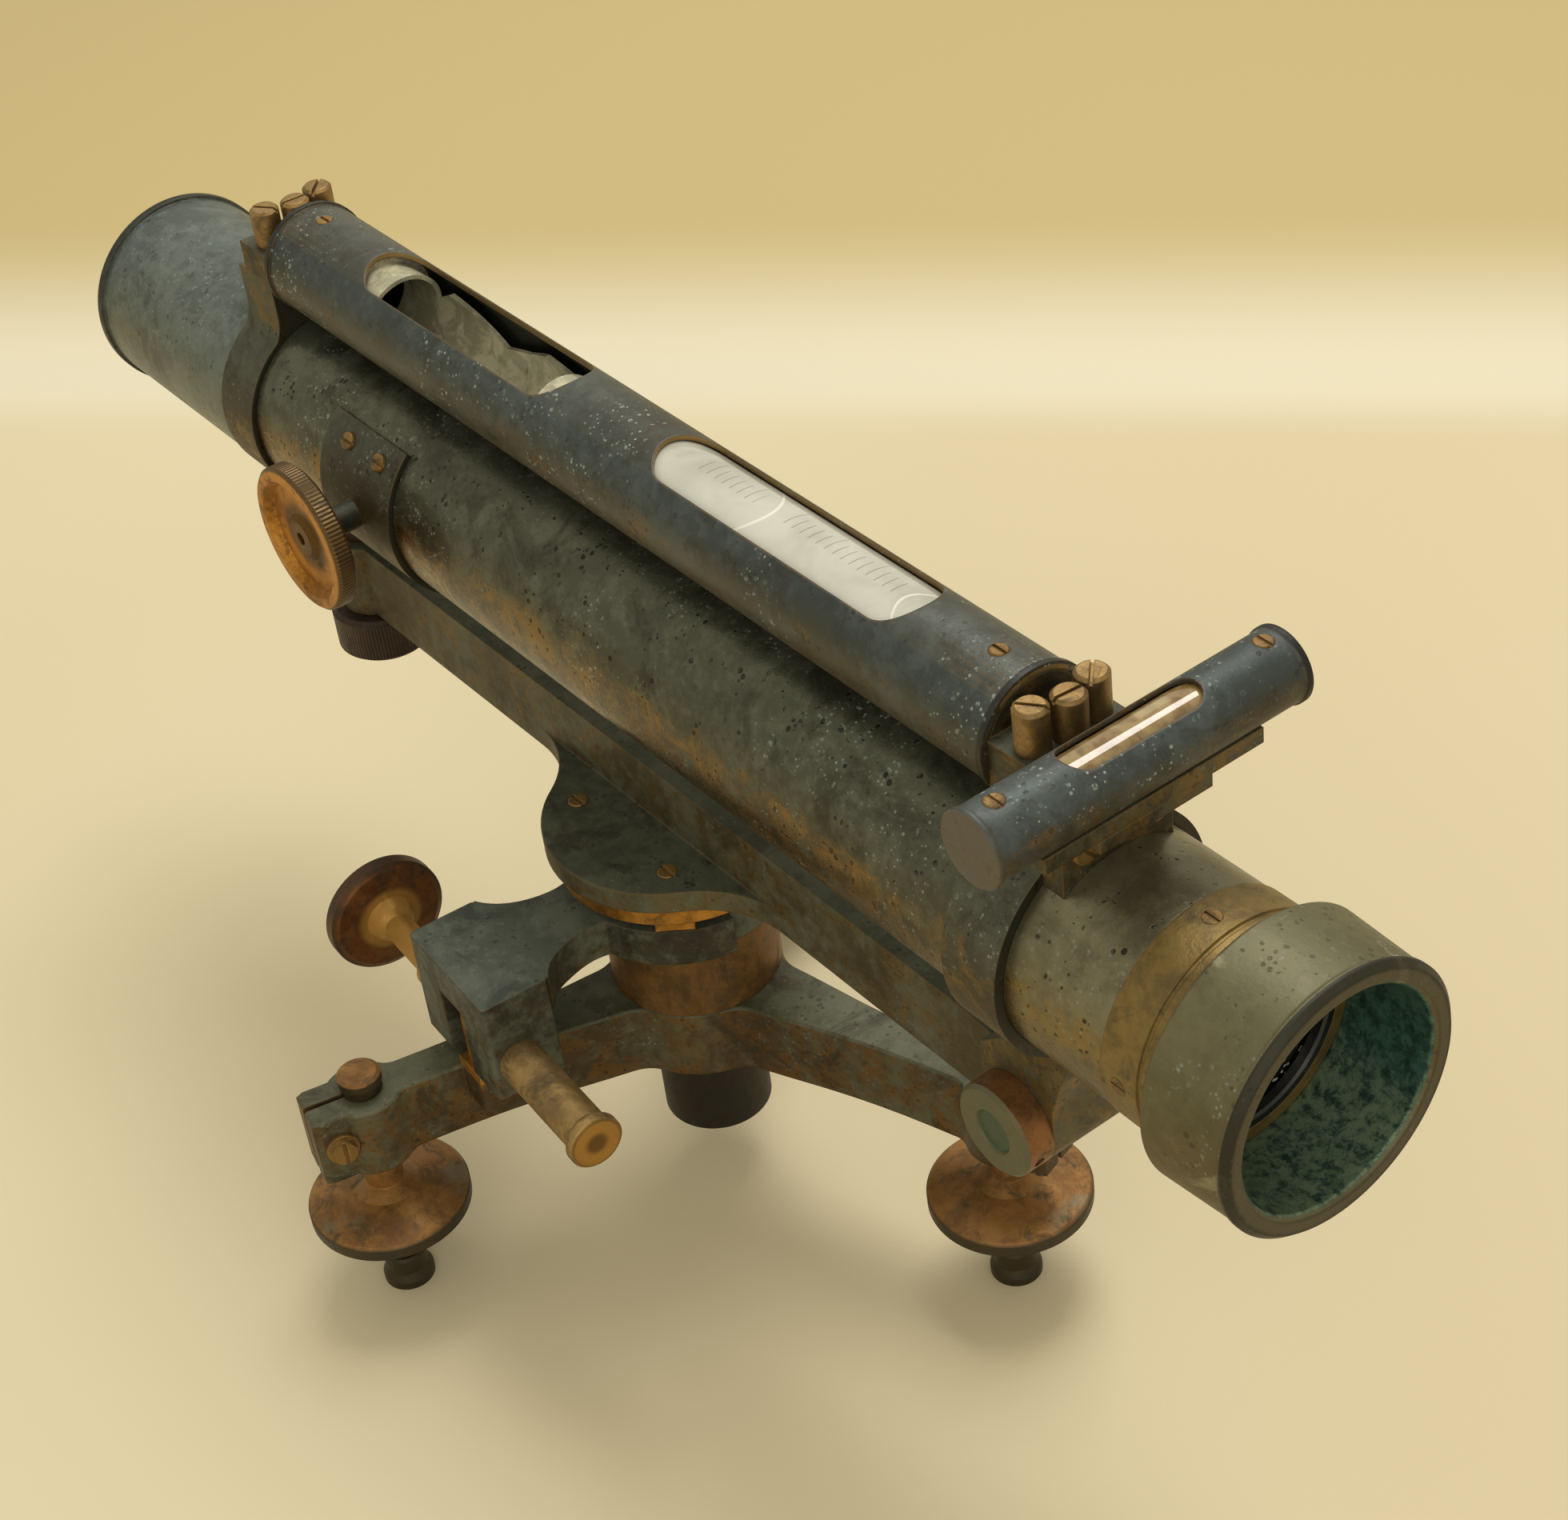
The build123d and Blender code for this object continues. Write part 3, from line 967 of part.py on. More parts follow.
def reticle_glass():
    start = RETICLE_X + RETICLE_LENGTH
    return rod(DRAW_RADIUS - DRAW_WALL, (start, 0, TELESCOPE_HEIGHT), (start + 1.2, 0, TELESCOPE_HEIGHT))


def window_cut(ends, width, centre_height, radius):
    """Round-ended cutter through the upper wall of a level casing along X."""
    start, end = ends
    shape = Pos((start + end) / 2, 0) * SlotOverall(end - start, width)
    return Pos(0, 0, centre_height) * extrude(shape, 2 * radius)


def level_casing():
    """Long level casing with thin end lips and two round-ended windows."""
    inner = LEVEL_RADIUS - LEVEL_WALL
    lip = LEVEL_LIP_LENGTH
    outline = [(inner, LEVEL_START), (LEVEL_LIP_RADIUS, LEVEL_START), (LEVEL_LIP_RADIUS, LEVEL_START + lip),
               (LEVEL_RADIUS, LEVEL_START + lip), (LEVEL_RADIUS, LEVEL_END - lip),
               (LEVEL_LIP_RADIUS, LEVEL_END - lip), (LEVEL_LIP_RADIUS, LEVEL_END), (inner, LEVEL_END)]
    casing = turned(outline, (0, 0, LEVEL_HEIGHT), (1, 0, 0))
    for ends in (FAR_WINDOW, NEAR_WINDOW):
        casing -= window_cut(ends, LEVEL_WINDOW_WIDTH, LEVEL_HEIGHT, LEVEL_RADIUS)
    for x in level_screw_x():
        casing -= rod(LEVEL_SCREW_HEAD, (x, 0, LEVEL_HEIGHT), (x, 0, LEVEL_HEIGHT + 2 * LEVEL_RADIUS))
    return casing


def level_screw_x():
    return (LEVEL_START + LEVEL_SCREW_INSET, LEVEL_END - LEVEL_SCREW_INSET)


def level_casing_screws():
    """Flush slotted screws that hold the casing on its end plugs."""
    top = LEVEL_HEIGHT + LEVEL_RADIUS
    height = LEVEL_WALL + 0.2
    screw = slotted_head(LEVEL_SCREW_HEAD, height)
    return [Pos(x, 0, top - LEVEL_WALL) * screw for x in level_screw_x()]


def level_lug(end, towards):
    """End plug of the casing with the flat plate that its nuts hold down."""
    inner = LEVEL_RADIUS - LEVEL_WALL
    plug = rod(inner, (end - towards * LUG_PLUG_LENGTH, 0, LEVEL_HEIGHT), (end, 0, LEVEL_HEIGHT))
    half = PEDESTAL_WIDTH / 2
    xs = sorted((end, end + towards * LUG_LENGTH))
    plate = block((xs[0], -half, PEDESTAL_HEIGHT), (xs[1], half, LUG_TOP))
    places = near_nut_places() if towards > 0 else far_nut_places()
    return plug + plate - stud_holes(places)


def nut_places(x, towards):
    return [(x, -NUT_PITCH), (x + towards * NUT_STAGGER, 0), (x, NUT_PITCH)]


def near_nut_places():
    return nut_places(LEVEL_END + NUT_OFFSET, 1)


def far_nut_places():
    return nut_places(LEVEL_START - NUT_OFFSET + 1.0, 1)


def stud_holes(places):
    return [rod(STUD_RADIUS, (x, y, PEDESTAL_HEIGHT - STUD_DEPTH), (x, y, LUG_TOP + 1)) for x, y in places]


def capstan_nuts(places):
    """Tall slotted nuts on their studs."""
    nuts = []
    for index, (x, y) in enumerate(places):
        outline = [(0, PEDESTAL_HEIGHT - STUD_DEPTH), (STUD_RADIUS, PEDESTAL_HEIGHT - STUD_DEPTH),
                   (STUD_RADIUS, LUG_TOP), (NUT_RADIUS, LUG_TOP), (NUT_RADIUS, LUG_TOP + NUT_HEIGHT - 0.7),
                   (NUT_RADIUS - 0.7, LUG_TOP + NUT_HEIGHT), (0, LUG_TOP + NUT_HEIGHT)]
        nut = turned(outline, (x, y, 0))
        slot = Box(3 * NUT_RADIUS, NUT_SLOT, 2 * NUT_SLOT_DEPTH)
        nuts.append(nut - Pos(x, y, LUG_TOP + NUT_HEIGHT) * Rot(0, 0, 35 + 50 * index) * slot)
    return nuts


def level_vial():
    """Sealed glass vial under the near window, with rounded ends."""
    start, end = NEAR_WINDOW[0] - VIAL_OVERHANG, NEAR_WINDOW[1] + VIAL_OVERHANG
    vial = rod(VIAL_RADIUS, (start, 0, LEVEL_HEIGHT), (end, 0, LEVEL_HEIGHT))
    return fillet(vial.edges().filter_by(GeomType.CIRCLE), 3.0)


def broken_vial():
    """Far vial, a glass tube whose top is broken away along a jagged edge."""
    start, end = FAR_WINDOW[0] - VIAL_OVERHANG, FAR_WINDOW[1] + VIAL_OVERHANG
    tube = pipe_x(VIAL_RADIUS, VIAL_RADIUS - VIAL_WALL, start, end, LEVEL_HEIGHT)
    span = FAR_WINDOW[1] - FAR_WINDOW[0]
    heights = (0.4, 5.6, 2.1, -1.4, 1.0, 4.8, 2.6, 0.2)
    low = [(FAR_WINDOW[0] + span * (0.08 + 0.12 * i), h) for i, h in enumerate(heights)]
    jag = Polygon(*low, (low[-1][0] - 3, 2 * VIAL_RADIUS), (low[0][0] + 4, 2 * VIAL_RADIUS), align=None)
    side = Plane((0, 2 * VIAL_RADIUS, LEVEL_HEIGHT), x_dir=(1, 0, 0), z_dir=(0, -1, 0))
    return tube - extrude(side * jag, 4 * VIAL_RADIUS)


def vial_packing():
    """Plaster rings that bed both vials in the casing."""
    inner = LEVEL_RADIUS - LEVEL_WALL
    rings = []
    for window in (FAR_WINDOW, NEAR_WINDOW):
        for end, side in ((window[0], -1), (window[1], 1)):
            outer_end = end + side * (VIAL_OVERHANG - 1.0)
            xs = sorted((outer_end - side * PACKING_LENGTH, outer_end))
            rings.append(pipe_x(inner, VIAL_RADIUS, xs[0], xs[1], LEVEL_HEIGHT))
    return rings


def cross_casing():
    """Short casing across the telescope, with end lips and a round-ended window."""
    inner = CROSS_RADIUS - CROSS_WALL
    lip = CROSS_LIP_LENGTH
    outline = [(0, CROSS_START), (CROSS_LIP_RADIUS - 0.5, CROSS_START), (CROSS_LIP_RADIUS, CROSS_START + 0.5),
               (CROSS_LIP_RADIUS, CROSS_START + lip), (CROSS_RADIUS, CROSS_START + lip + 0.4),
               (CROSS_RADIUS, CROSS_END - lip - 0.4), (CROSS_LIP_RADIUS, CROSS_END - lip),
               (CROSS_LIP_RADIUS, CROSS_END), (0, CROSS_END), (0, CROSS_END - 4), (inner, CROSS_END - 4),
               (inner, CROSS_START + 4), (0, CROSS_START + 4)]
    casing = turned(outline, (CROSS_X, 0, CROSS_HEIGHT), (0, 1, 0))
    shape = Pos(CROSS_X, -0.7) * Rot(0, 0, 90) * SlotOverall(CROSS_WINDOW_LENGTH, CROSS_WINDOW_WIDTH)
    casing -= Pos(0, 0, CROSS_HEIGHT) * extrude(shape, 2 * CROSS_RADIUS)
    for side in (-1, 1):
        y = side * CROSS_SCREW_Y
        casing -= rod(CROSS_SCREW_HEAD, (CROSS_X, y, CROSS_HEIGHT + CROSS_RADIUS - 0.8),
                      (CROSS_X, y, CROSS_HEIGHT + 2 * CROSS_RADIUS))
    return casing


def cross_casing_screws():
    top = CROSS_HEIGHT + CROSS_RADIUS - 0.8
    screw = slotted_head(CROSS_SCREW_HEAD, 0.95, slot_depth=0.45)
    return [Pos(CROSS_X, side * CROSS_SCREW_Y, top) * screw for side in (-1, 1)]


def cross_vial():
    half = CROSS_VIAL_LENGTH / 2
    vial = rod(CROSS_VIAL_RADIUS, (CROSS_X, -half, CROSS_HEIGHT), (CROSS_X, half, CROSS_HEIGHT))
    return fillet(vial.edges().filter_by(GeomType.CIRCLE), 2.0)


def cross_vial_seats():
    """Two plaster rings that bed the cross vial in its casing."""
    inner = CROSS_RADIUS - CROSS_WALL
    half = CROSS_VIAL_LENGTH / 2 - 2.2
    seats = []
    for side in (-1, 1):
        start, end = side * (half - 4.0), side * half
        ring = rod(inner, (CROSS_X, start, CROSS_HEIGHT), (CROSS_X, end, CROSS_HEIGHT))
        seats.append(ring - rod(CROSS_VIAL_RADIUS, (CROSS_X, 2 * start, CROSS_HEIGHT), (CROSS_X, 0, CROSS_HEIGHT))
                     - rod(CROSS_VIAL_RADIUS, (CROSS_X, 0, CROSS_HEIGHT), (CROSS_X, 2 * end, CROSS_HEIGHT)))
    return seats


def cross_base():
    """Plate under the cross casing, hollowed to fit its round."""
    half = CROSS_BASE_WIDTH / 2
    top = CROSS_HEIGHT - CROSS_RADIUS + CROSS_BASE_OVERLAP
    plate = block((CROSS_X - half, -CROSS_BASE_LENGTH / 2, cross_base_bottom()),
                  (CROSS_X + half, CROSS_BASE_LENGTH / 2, top))
    return plate - rod(CROSS_RADIUS, (CROSS_X, CROSS_START, CROSS_HEIGHT), (CROSS_X, CROSS_END, CROSS_HEIGHT))


def cross_base_bottom():
    return CROSS_HEIGHT - CROSS_RADIUS + CROSS_BASE_OVERLAP - CROSS_BASE_THICKNESS


def cross_bracket():
    """Angle bracket that stands on the nose against the near collar."""
    half = BRACKET_WIDTH / 2
    front = NEAR_COLLAR_END + BRACKET_THICKNESS
    top = cross_base_bottom()
    upright = block((NEAR_COLLAR_END, -half, TELESCOPE_HEIGHT + BRACKET_FOOT_RISE), (front, half, top))
    flange = block((NEAR_COLLAR_END, -half, top - BRACKET_FLANGE), (CROSS_X + CROSS_BASE_WIDTH / 2, half, top))
    bracket = upright + flange
    bracket -= rod(NOSE_RADIUS, (COLLAR_MIDDLE, 0, TELESCOPE_HEIGHT), (NOSE_END, 0, TELESCOPE_HEIGHT))
    for side in (-1, 1):
        place = (side * BRACKET_SCREW_Y, TELESCOPE_HEIGHT + BRACKET_SCREW_RISE)
        bracket -= rod(1.5, (front - 4, *place), (front + 1, *place))
    return bracket


def bracket_screws():
    front = NEAR_COLLAR_END + BRACKET_THICKNESS
    screw = slotted_head(BRACKET_SCREW_HEAD, 1.7, 1.5, 4.0)
    height = TELESCOPE_HEIGHT + BRACKET_SCREW_RISE
    return [Plane((front, side * BRACKET_SCREW_Y, height), z_dir=(1, 0, 0)) * Rot(0, 0, 40) * screw
            for side in (-1, 1)]


def pivot_screw():
    """Pivot pin with its capstan head and one tommy-bar hole in the rim."""
    inner = FORK_WIDTH / 2
    outer = inner + PIVOT_HEAD_LENGTH
    rim, recess = FORK_BARREL_RADIUS, PIVOT_RECESS_RADIUS
    outline = [(0, -inner), (PIVOT_PIN_RADIUS, -inner), (PIVOT_PIN_RADIUS, inner), (rim, inner),
               (rim, outer - PIVOT_HEAD_CHAMFER), (rim - PIVOT_HEAD_CHAMFER, outer),
               (recess + 0.6, outer), (recess, outer - PIVOT_RECESS_DEPTH), (0, outer - PIVOT_RECESS_DEPTH)]
    pin = turned(outline, (PIVOT_X, 0, BAR_AXIS), (0, -1, 0))
    middle = (inner + outer) / 2
    slope = math.radians(-20)
    end = (PIVOT_X + 2 * rim * math.cos(slope), -middle, BAR_AXIS + 2 * rim * math.sin(slope))
    return pin - rod(CAPSTAN_HOLE_RADIUS, (PIVOT_X + 4 * math.cos(slope), -middle, BAR_AXIS + 4 * math.sin(slope)), end)


def all_nodes():
    """Every separate piece by its node name."""
    nodes = {
        "tribrach_casting": tribrach_casting(),
        "pinch_screws": pinch_screws(),
        "axis_socket": axis_socket(),
        "tangent_tongue": tangent_tongue(),
        "clamp_arm": clamp_arm(),
        "tangent_shoe": tangent_shoe(),
        "tangent_screw": tangent_screw(),
        "spring_barrel": spring_barrel(),
        "spring_plunger": spring_plunger(),
        "limb_disc": limb_disc(),
        "spindle": spindle(),
        "limb_bar": limb_bar(),
        "stage_screws": stage_screws(),
        "tilt_plunger": tilt_plunger(),
        "tilt_screw": tilt_screw(),
        "main_tube": main_tube(),
        "near_collar": near_collar(),
        "far_collar": far_collar(),
        "nose_tube": nose_tube(),
        "cell_ring": cell_ring(),
        "cell_screws": cell_screw_group(1),
        "hood": hood(),
        "objective_lens": objective_lens(),
        "lens_retainer": lens_retainer(),
        "guard_hood": guard_hood(),
        "rear_guide": guide_ring(FAR_COLLAR_END, FAR_COLLAR_END + GUIDE_LENGTH, False),
        "front_guide": guide_ring(FRONT_GUIDE_X - GUIDE_LENGTH, FRONT_GUIDE_X, True),
        "draw_tube": draw_tube(),
        "focus_rack": focus_rack(),
        "pinion": pinion(),
        "pinion_plate": pinion_plate(),
        "plate_screws": plate_screws(),
        "focus_knob": focus_knob(),
        "eyepiece": eyepiece(),
        "eye_lens": eye_lens(),
        "reticle_ring": reticle_ring(),
        "reticle_glass": reticle_glass(),
        "level_casing": level_casing(),
        "level_casing_screws": level_casing_screws(),
        "level_lug_near": level_lug(LEVEL_END, 1),
        "level_lug_far": level_lug(LEVEL_START, -1),
        "level_nuts_near": capstan_nuts(near_nut_places()),
        "level_nuts_far": capstan_nuts(far_nut_places()),
        "level_vial": level_vial(),
        "broken_vial": broken_vial(),
        "vial_packing": vial_packing(),
        "cross_casing": cross_casing(),
        "cross_casing_screws": cross_casing_screws(),
        "cross_vial": cross_vial(),
        "cross_vial_seats": cross_vial_seats(),
        "cross_base": cross_base(),
        "cross_bracket": cross_bracket(),
        "bracket_screws": bracket_screws(),
        "pivot_screw": pivot_screw(),
    }
    for index, angle in enumerate(ARM_ANGLES, start=1):
        place = Rot(0, 0, angle) * Pos(FOOT_REACH, 0, 0)
        nodes[f"footscrew_{index}"] = place * footscrew()
        nodes[f"foot_pad_{index}"] = place * foot_pad()
    return nodes


os.makedirs("parts", exist_ok=True)
for name, shape in all_nodes().items():
    if isinstance(shape, list):
        shape = Compound(children=shape)
    export_step(shape, f"parts/{name}.step")
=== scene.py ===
# %% [markdown]
# # An antique surveyor's level
# The real object is a dumpy level: a telescope that turns on a three-armed base, with a long spirit
# level above it. Its shapes were built as solids, so the frame already holds every piece under its
# name. A solid has no age, though. This script gives each piece its worn finish, puts two clear
# glasses behind the level windows, and lights the whole on a warm sheet.

import math

import bmesh
import bpy
from mathutils import Matrix, Vector


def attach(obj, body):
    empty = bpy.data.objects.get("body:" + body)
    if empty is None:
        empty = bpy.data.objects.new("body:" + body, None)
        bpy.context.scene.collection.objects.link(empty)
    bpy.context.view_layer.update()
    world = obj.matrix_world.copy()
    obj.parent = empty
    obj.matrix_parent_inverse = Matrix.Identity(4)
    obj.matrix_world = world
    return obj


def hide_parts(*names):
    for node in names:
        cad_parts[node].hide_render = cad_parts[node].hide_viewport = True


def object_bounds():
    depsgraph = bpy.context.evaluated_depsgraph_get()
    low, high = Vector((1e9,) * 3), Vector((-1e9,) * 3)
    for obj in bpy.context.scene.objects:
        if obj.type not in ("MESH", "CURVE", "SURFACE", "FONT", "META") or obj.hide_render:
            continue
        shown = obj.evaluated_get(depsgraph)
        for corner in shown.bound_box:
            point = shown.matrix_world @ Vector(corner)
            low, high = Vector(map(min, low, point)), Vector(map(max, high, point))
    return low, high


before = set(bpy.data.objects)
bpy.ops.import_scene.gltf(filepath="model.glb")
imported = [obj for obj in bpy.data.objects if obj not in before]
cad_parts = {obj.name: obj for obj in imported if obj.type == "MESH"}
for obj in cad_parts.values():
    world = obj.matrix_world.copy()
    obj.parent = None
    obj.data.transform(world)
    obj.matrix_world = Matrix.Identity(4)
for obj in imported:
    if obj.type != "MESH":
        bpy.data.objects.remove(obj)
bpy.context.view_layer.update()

# %% [markdown]
# ## Where the camera stood
# The photograph looks down on the objective end. A camera could be placed by eye, but round rims
# show their tilt so clearly that a small error is seen at once. So the place was worked out from
# the rims and straight edges in the picture, in metres and degrees. Yaw turns the view about the
# vertical, pitch tips it down, and roll leans the picture a little.

# %% Camera directions
CAMERA_PLACE = Vector((0.47635, -0.27701, 0.53174))
CAMERA_YAW, CAMERA_PITCH, CAMERA_ROLL = 57.02, -38.06, -7.6


def camera_axes():
    """The camera's right, up and forward directions."""
    yaw, pitch, roll = (math.radians(a) for a in (CAMERA_YAW, CAMERA_PITCH, CAMERA_ROLL))
    flat = math.cos(pitch)
    forward = Vector((-math.sin(yaw) * flat, math.cos(yaw) * flat, math.sin(pitch)))
    level = Vector((math.cos(yaw), math.sin(yaw), 0))
    upright = level.cross(forward)
    right = level * math.cos(roll) + upright * math.sin(roll)
    up = upright * math.cos(roll) - level * math.sin(roll)
    return right, up, forward


print("camera looks along", [round(part, 3) for part in camera_axes()[2]])

# %% [markdown]
# ## The camera
# The three directions could be turned into Euler angles, but their order is easy to get wrong. They
# are the columns of the camera's rotation as they stand, apart from one sign: a camera looks along
# its own -Z. The lens is given with the sensor's width, since only the two together set the view.

# %% Camera
CAMERA_LENS = 70.24
SENSOR_WIDTH = 36


def add_camera():
    right, up, forward = camera_axes()
    data = bpy.data.cameras.new("camera")
    data.lens, data.sensor_width = CAMERA_LENS, SENSOR_WIDTH
    data.clip_start, data.clip_end = 0.01, 20
    camera = bpy.data.objects.new("camera", data)
    bpy.context.collection.objects.link(camera)
    turn = Matrix((right, up, -forward)).transposed().to_4x4()
    camera.matrix_world = Matrix.Translation(CAMERA_PLACE) @ turn
    bpy.context.scene.camera = camera
    return camera


print("camera at", [round(part, 3) for part in add_camera().matrix_world.translation])

# %% [markdown]
# ## Colours as the eye reads them
# A shader works with linear light, while a colour read off a picture is spaced for the eye. Typing
# linear values by hand is guesswork, so one helper takes the familiar 0 to 255 and turns it over.

# %% Colour helpers
def linear(value):
    value /= 255
    return value / 12.92 if value <= 0.04045 else ((value + 0.055) / 1.055) ** 2.4


def rgb(red, green, blue):
    return (linear(red), linear(green), linear(blue), 1.0)


def paler(colour):
    return tuple(min(1, part * 1.9 + 0.02) for part in colour[:3]) + (1.0,)


def darker(colour):
    return tuple(part * 0.35 for part in colour[:3]) + (1.0,)


print("middle grey is", round(linear(128), 3))

# %% [markdown]
# ## Arithmetic on sockets
# Masks such as "inside the hood and below its middle" need many Math nodes. They could be placed
# and linked one at a time, but then a formula is twenty lines long. `Wire` holds an output socket
# and overloads the operators, so that the formula is written as it is read. The reflected forms
# let a number stand first, as in `1 - mask`.

# %% Wire
class Wire:
    """An output socket, with arithmetic that adds Math nodes."""

    def __init__(self, shade, socket):
        self.shade, self.socket = shade, socket

    def math(self, operation, first, second=0.0, clamp=False):
        settings = {"operation": operation, "use_clamp": clamp}
        return self.shade.node("ShaderNodeMath", settings, {0: first, 1: second})

    def __add__(self, other):
        return self.math("ADD", self, other)

    def __radd__(self, other):
        return self.math("ADD", other, self)

    def __sub__(self, other):
        return self.math("SUBTRACT", self, other)

    def __rsub__(self, other):
        return self.math("SUBTRACT", other, self)

    def __mul__(self, other):
        return self.math("MULTIPLY", self, other)

    def __rmul__(self, other):
        return self.math("MULTIPLY", other, self)

    def __truediv__(self, other):
        return self.math("DIVIDE", self, other)

    def __rtruediv__(self, other):
        return self.math("DIVIDE", other, self)

    def clamp(self):
        return self.math("ADD", self, 0.0, clamp=True)

    def root(self):
        return self.math("SQRT", self)

    def size(self):
        return self.math("ABSOLUTE", self)

    def beat(self):
        """The fraction of a turn or pitch, from 0 to 1."""
        return self.math("FRACT", self)

    def wave(self):
        return self.math("SINE", self)

    def between(self, low, high):
        """0 below low, 1 above high, and a smooth step in between."""
        settings = {"interpolation_type": "SMOOTHSTEP", "clamp": True}
        inputs = {"Value": self, "From Min": low, "From Max": high}
        return self.shade.node("ShaderNodeMapRange", settings, inputs)


print("operators", [name for name in vars(Wire) if name.startswith("__r")])

# %% [markdown]
# ## One material
# Every finish here is a Principled surface with patterns in front of it. `Nodes` adds any node
# from its type, its settings and its inputs, so that no node needs code of its own. Object
# coordinates are used throughout: they're in metres on the piece, they turn with it, and they stay
# the same when the model is exported.

# %% Nodes
class Nodes:
    """One node material with a Principled surface."""

    def __init__(self, name):
        self.material = bpy.data.materials.new(name)
        self.material.use_nodes = True
        self.tree = self.material.node_tree
        self.surface = self.tree.nodes["Principled BSDF"]
        self.place = self.node("ShaderNodeTexCoord", out="Object")
        self.facing = self.split(self.node("ShaderNodeTexCoord", out="Normal"))

    def node(self, kind, settings=None, inputs=None, out=0):
        made = self.tree.nodes.new(kind)
        for key, value in (settings or {}).items():
            setattr(made, key, value)
        for key, value in (inputs or {}).items():
            self.feed(made.inputs[key], value)
        return Wire(self, made.outputs[out])

    def feed(self, socket, value):
        if isinstance(value, Wire):
            self.tree.links.new(value.socket, socket)
        else:
            socket.default_value = value

    def split(self, vector):
        made = self.node("ShaderNodeSeparateXYZ", None, {0: vector}).socket.node
        return [Wire(self, output) for output in made.outputs]

    def set(self, **values):
        for key, value in values.items():
            self.feed(self.surface.inputs[key.replace("_", " ")], value)
        return self.material


print("methods", [name for name in vars(Nodes) if not name.startswith("_")])

# %% [markdown]
# ## Patterns
# Age shows at several sizes at once: clouds a few centimetres wide, grain, specks. Noise makes the
# first two. For specks, each cell of a Voronoi pattern has a centre and a random colour, and that
# colour sets how large its spot grows, so the spots don't look stamped.
# The Bevel node rounds the shading over an edge without a change to the mesh. Where the rounded
# direction leans away from the face, there is an edge: a free mask for metal worn bare.

# %% Shade
class Shade(Nodes):
    """A material with the patterns that the finishes share."""

    def noise(self, scale, detail=4.0, rough=0.55, warp=0.0, place=None):
        inputs = {"Vector": place or self.place, "Scale": scale, "Detail": detail,
                  "Roughness": rough, "Distortion": warp}
        return self.node("ShaderNodeTexNoise", {"noise_dimensions": "3D"}, inputs)

    def cells(self, scale, place=None):
        inputs = {"Vector": place or self.place, "Scale": scale, "Randomness": 1.0}
        return self.node("ShaderNodeTexVoronoi", {"feature": "F1"}, inputs)

    def spots(self, scale, size, soft, place=None):
        """Round spots of uneven size, one in each cell."""
        made = self.cells(scale, place)
        chance = self.split(Wire(self, made.socket.node.outputs["Color"]))[0]
        return (chance * size - made).between(0.0, soft)

    def blend(self, amount, first, second):
        inputs = {"Factor": amount, 6: first, 7: second}
        return self.node("ShaderNodeMix", {"data_type": "RGBA"}, inputs, out=2)

    def vector(self, operation, first, second, out=0):
        return self.node("ShaderNodeVectorMath", {"operation": operation}, {0: first, 1: second}, out)

    def shifted(self, by):
        return self.vector("ADD", self.place, by)

    def stretched(self, by):
        return self.vector("MULTIPLY", self.place, by)

    def softened(self, radius):
        """Surface normal rounded over near edges, and how far it leans from the flat one there."""
        round_normal = self.node("ShaderNodeBevel", {"samples": 6}, {"Radius": radius})
        flat = self.node("ShaderNodeNewGeometry", out="True Normal")
        lean = self.vector("DOT_PRODUCT", round_normal, flat, out="Value")
        return round_normal, (1 - lean).between(0.01, 0.18)

    def bump(self, height, strength, distance, below=None):
        inputs = {"Height": height, "Strength": strength, "Distance": distance}
        if below:
            inputs["Normal"] = below
        return self.node("ShaderNodeBump", None, inputs)


print("patterns", [name for name in vars(Shade) if not name.startswith("_")])

# %% [markdown]
# ## Where on the piece
# Much of the finish depends on the place: the inside of the hood is green, the rim of a knob is
# dark. A painted map could say so, but it would need unwrapping. The pieces are turned or cast on
# known axes, so a distance from an axis says it too, in millimetres.

# %% Places
TUBE_AXIS = 148.4
LEVEL_AXIS = 188.7
CROSS_AXIS = (160.7, 197.8)


def millimetres(shade):
    return [part * 1000 for part in shade.split(shade.place)]


def off_axis(first, second, centre):
    """Distance from an axis that runs square to the two coordinates."""
    a, b = first - centre[0], second - centre[1]
    return (a * a + b * b).root()


def inside(value, low, high, soft=0.15):
    """1 where the value lies between two bounds."""
    return value.between(low - soft, low + soft) * (1 - value.between(high - soft, high + soft))


print("telescope, long level and cross level lie at", TUBE_AXIS, LEVEL_AXIS, CROSS_AXIS)

# %% [markdown]
# ## Old lacquer, first coat
# The castings and tubes were lacquered blue-black over brass. Light and dust turned the upward
# faces grey, and the flanks went brown; the flank colour is also darker than the top as painted
# shade, for the lesser light on the sides. A blend on the facing alone would draw a straight line
# between the two, so broad noise is added to it first. Pale clouds and dark stains then break up
# what is left of an even colour.

# %% Coat
def coat(shade, top, flank, broad, fine, mottle, seed):
    """Grey above and brown on the flanks, the brown partly painted shade; clouded and stained."""
    # Painted shade: the flank colour goes on faces that turn sideways or down, darker than the top
    # for the lesser light there.
    side = (shade.facing[2] + broad * 0.9 - 0.45).between(-0.35, 0.6)
    colour = shade.blend(side, flank, top)
    cloud = (broad * 0.6 + fine * 0.55).between(0.5, 0.68)
    colour = shade.blend(cloud * mottle, colour, paler(top))
    stain = shade.noise(55, 6, 0.7, 0.8, shade.shifted((0.7, seed, 0.4))).between(0.5, 0.66)
    return shade.blend(stain * mottle, colour, darker(flank))


print("coat ready")

# %% [markdown]
# ## Lacquer worn away
# Hands and boxes rub the coat off in two ways. On the flanks it goes in ragged bands, so the mask
# is noise that is raised where the surface faces sideways. Along edges it goes in a thin line,
# which the lean of the rounded normal gives.

# %% Wear
LACQUER_ROUND = 0.0007


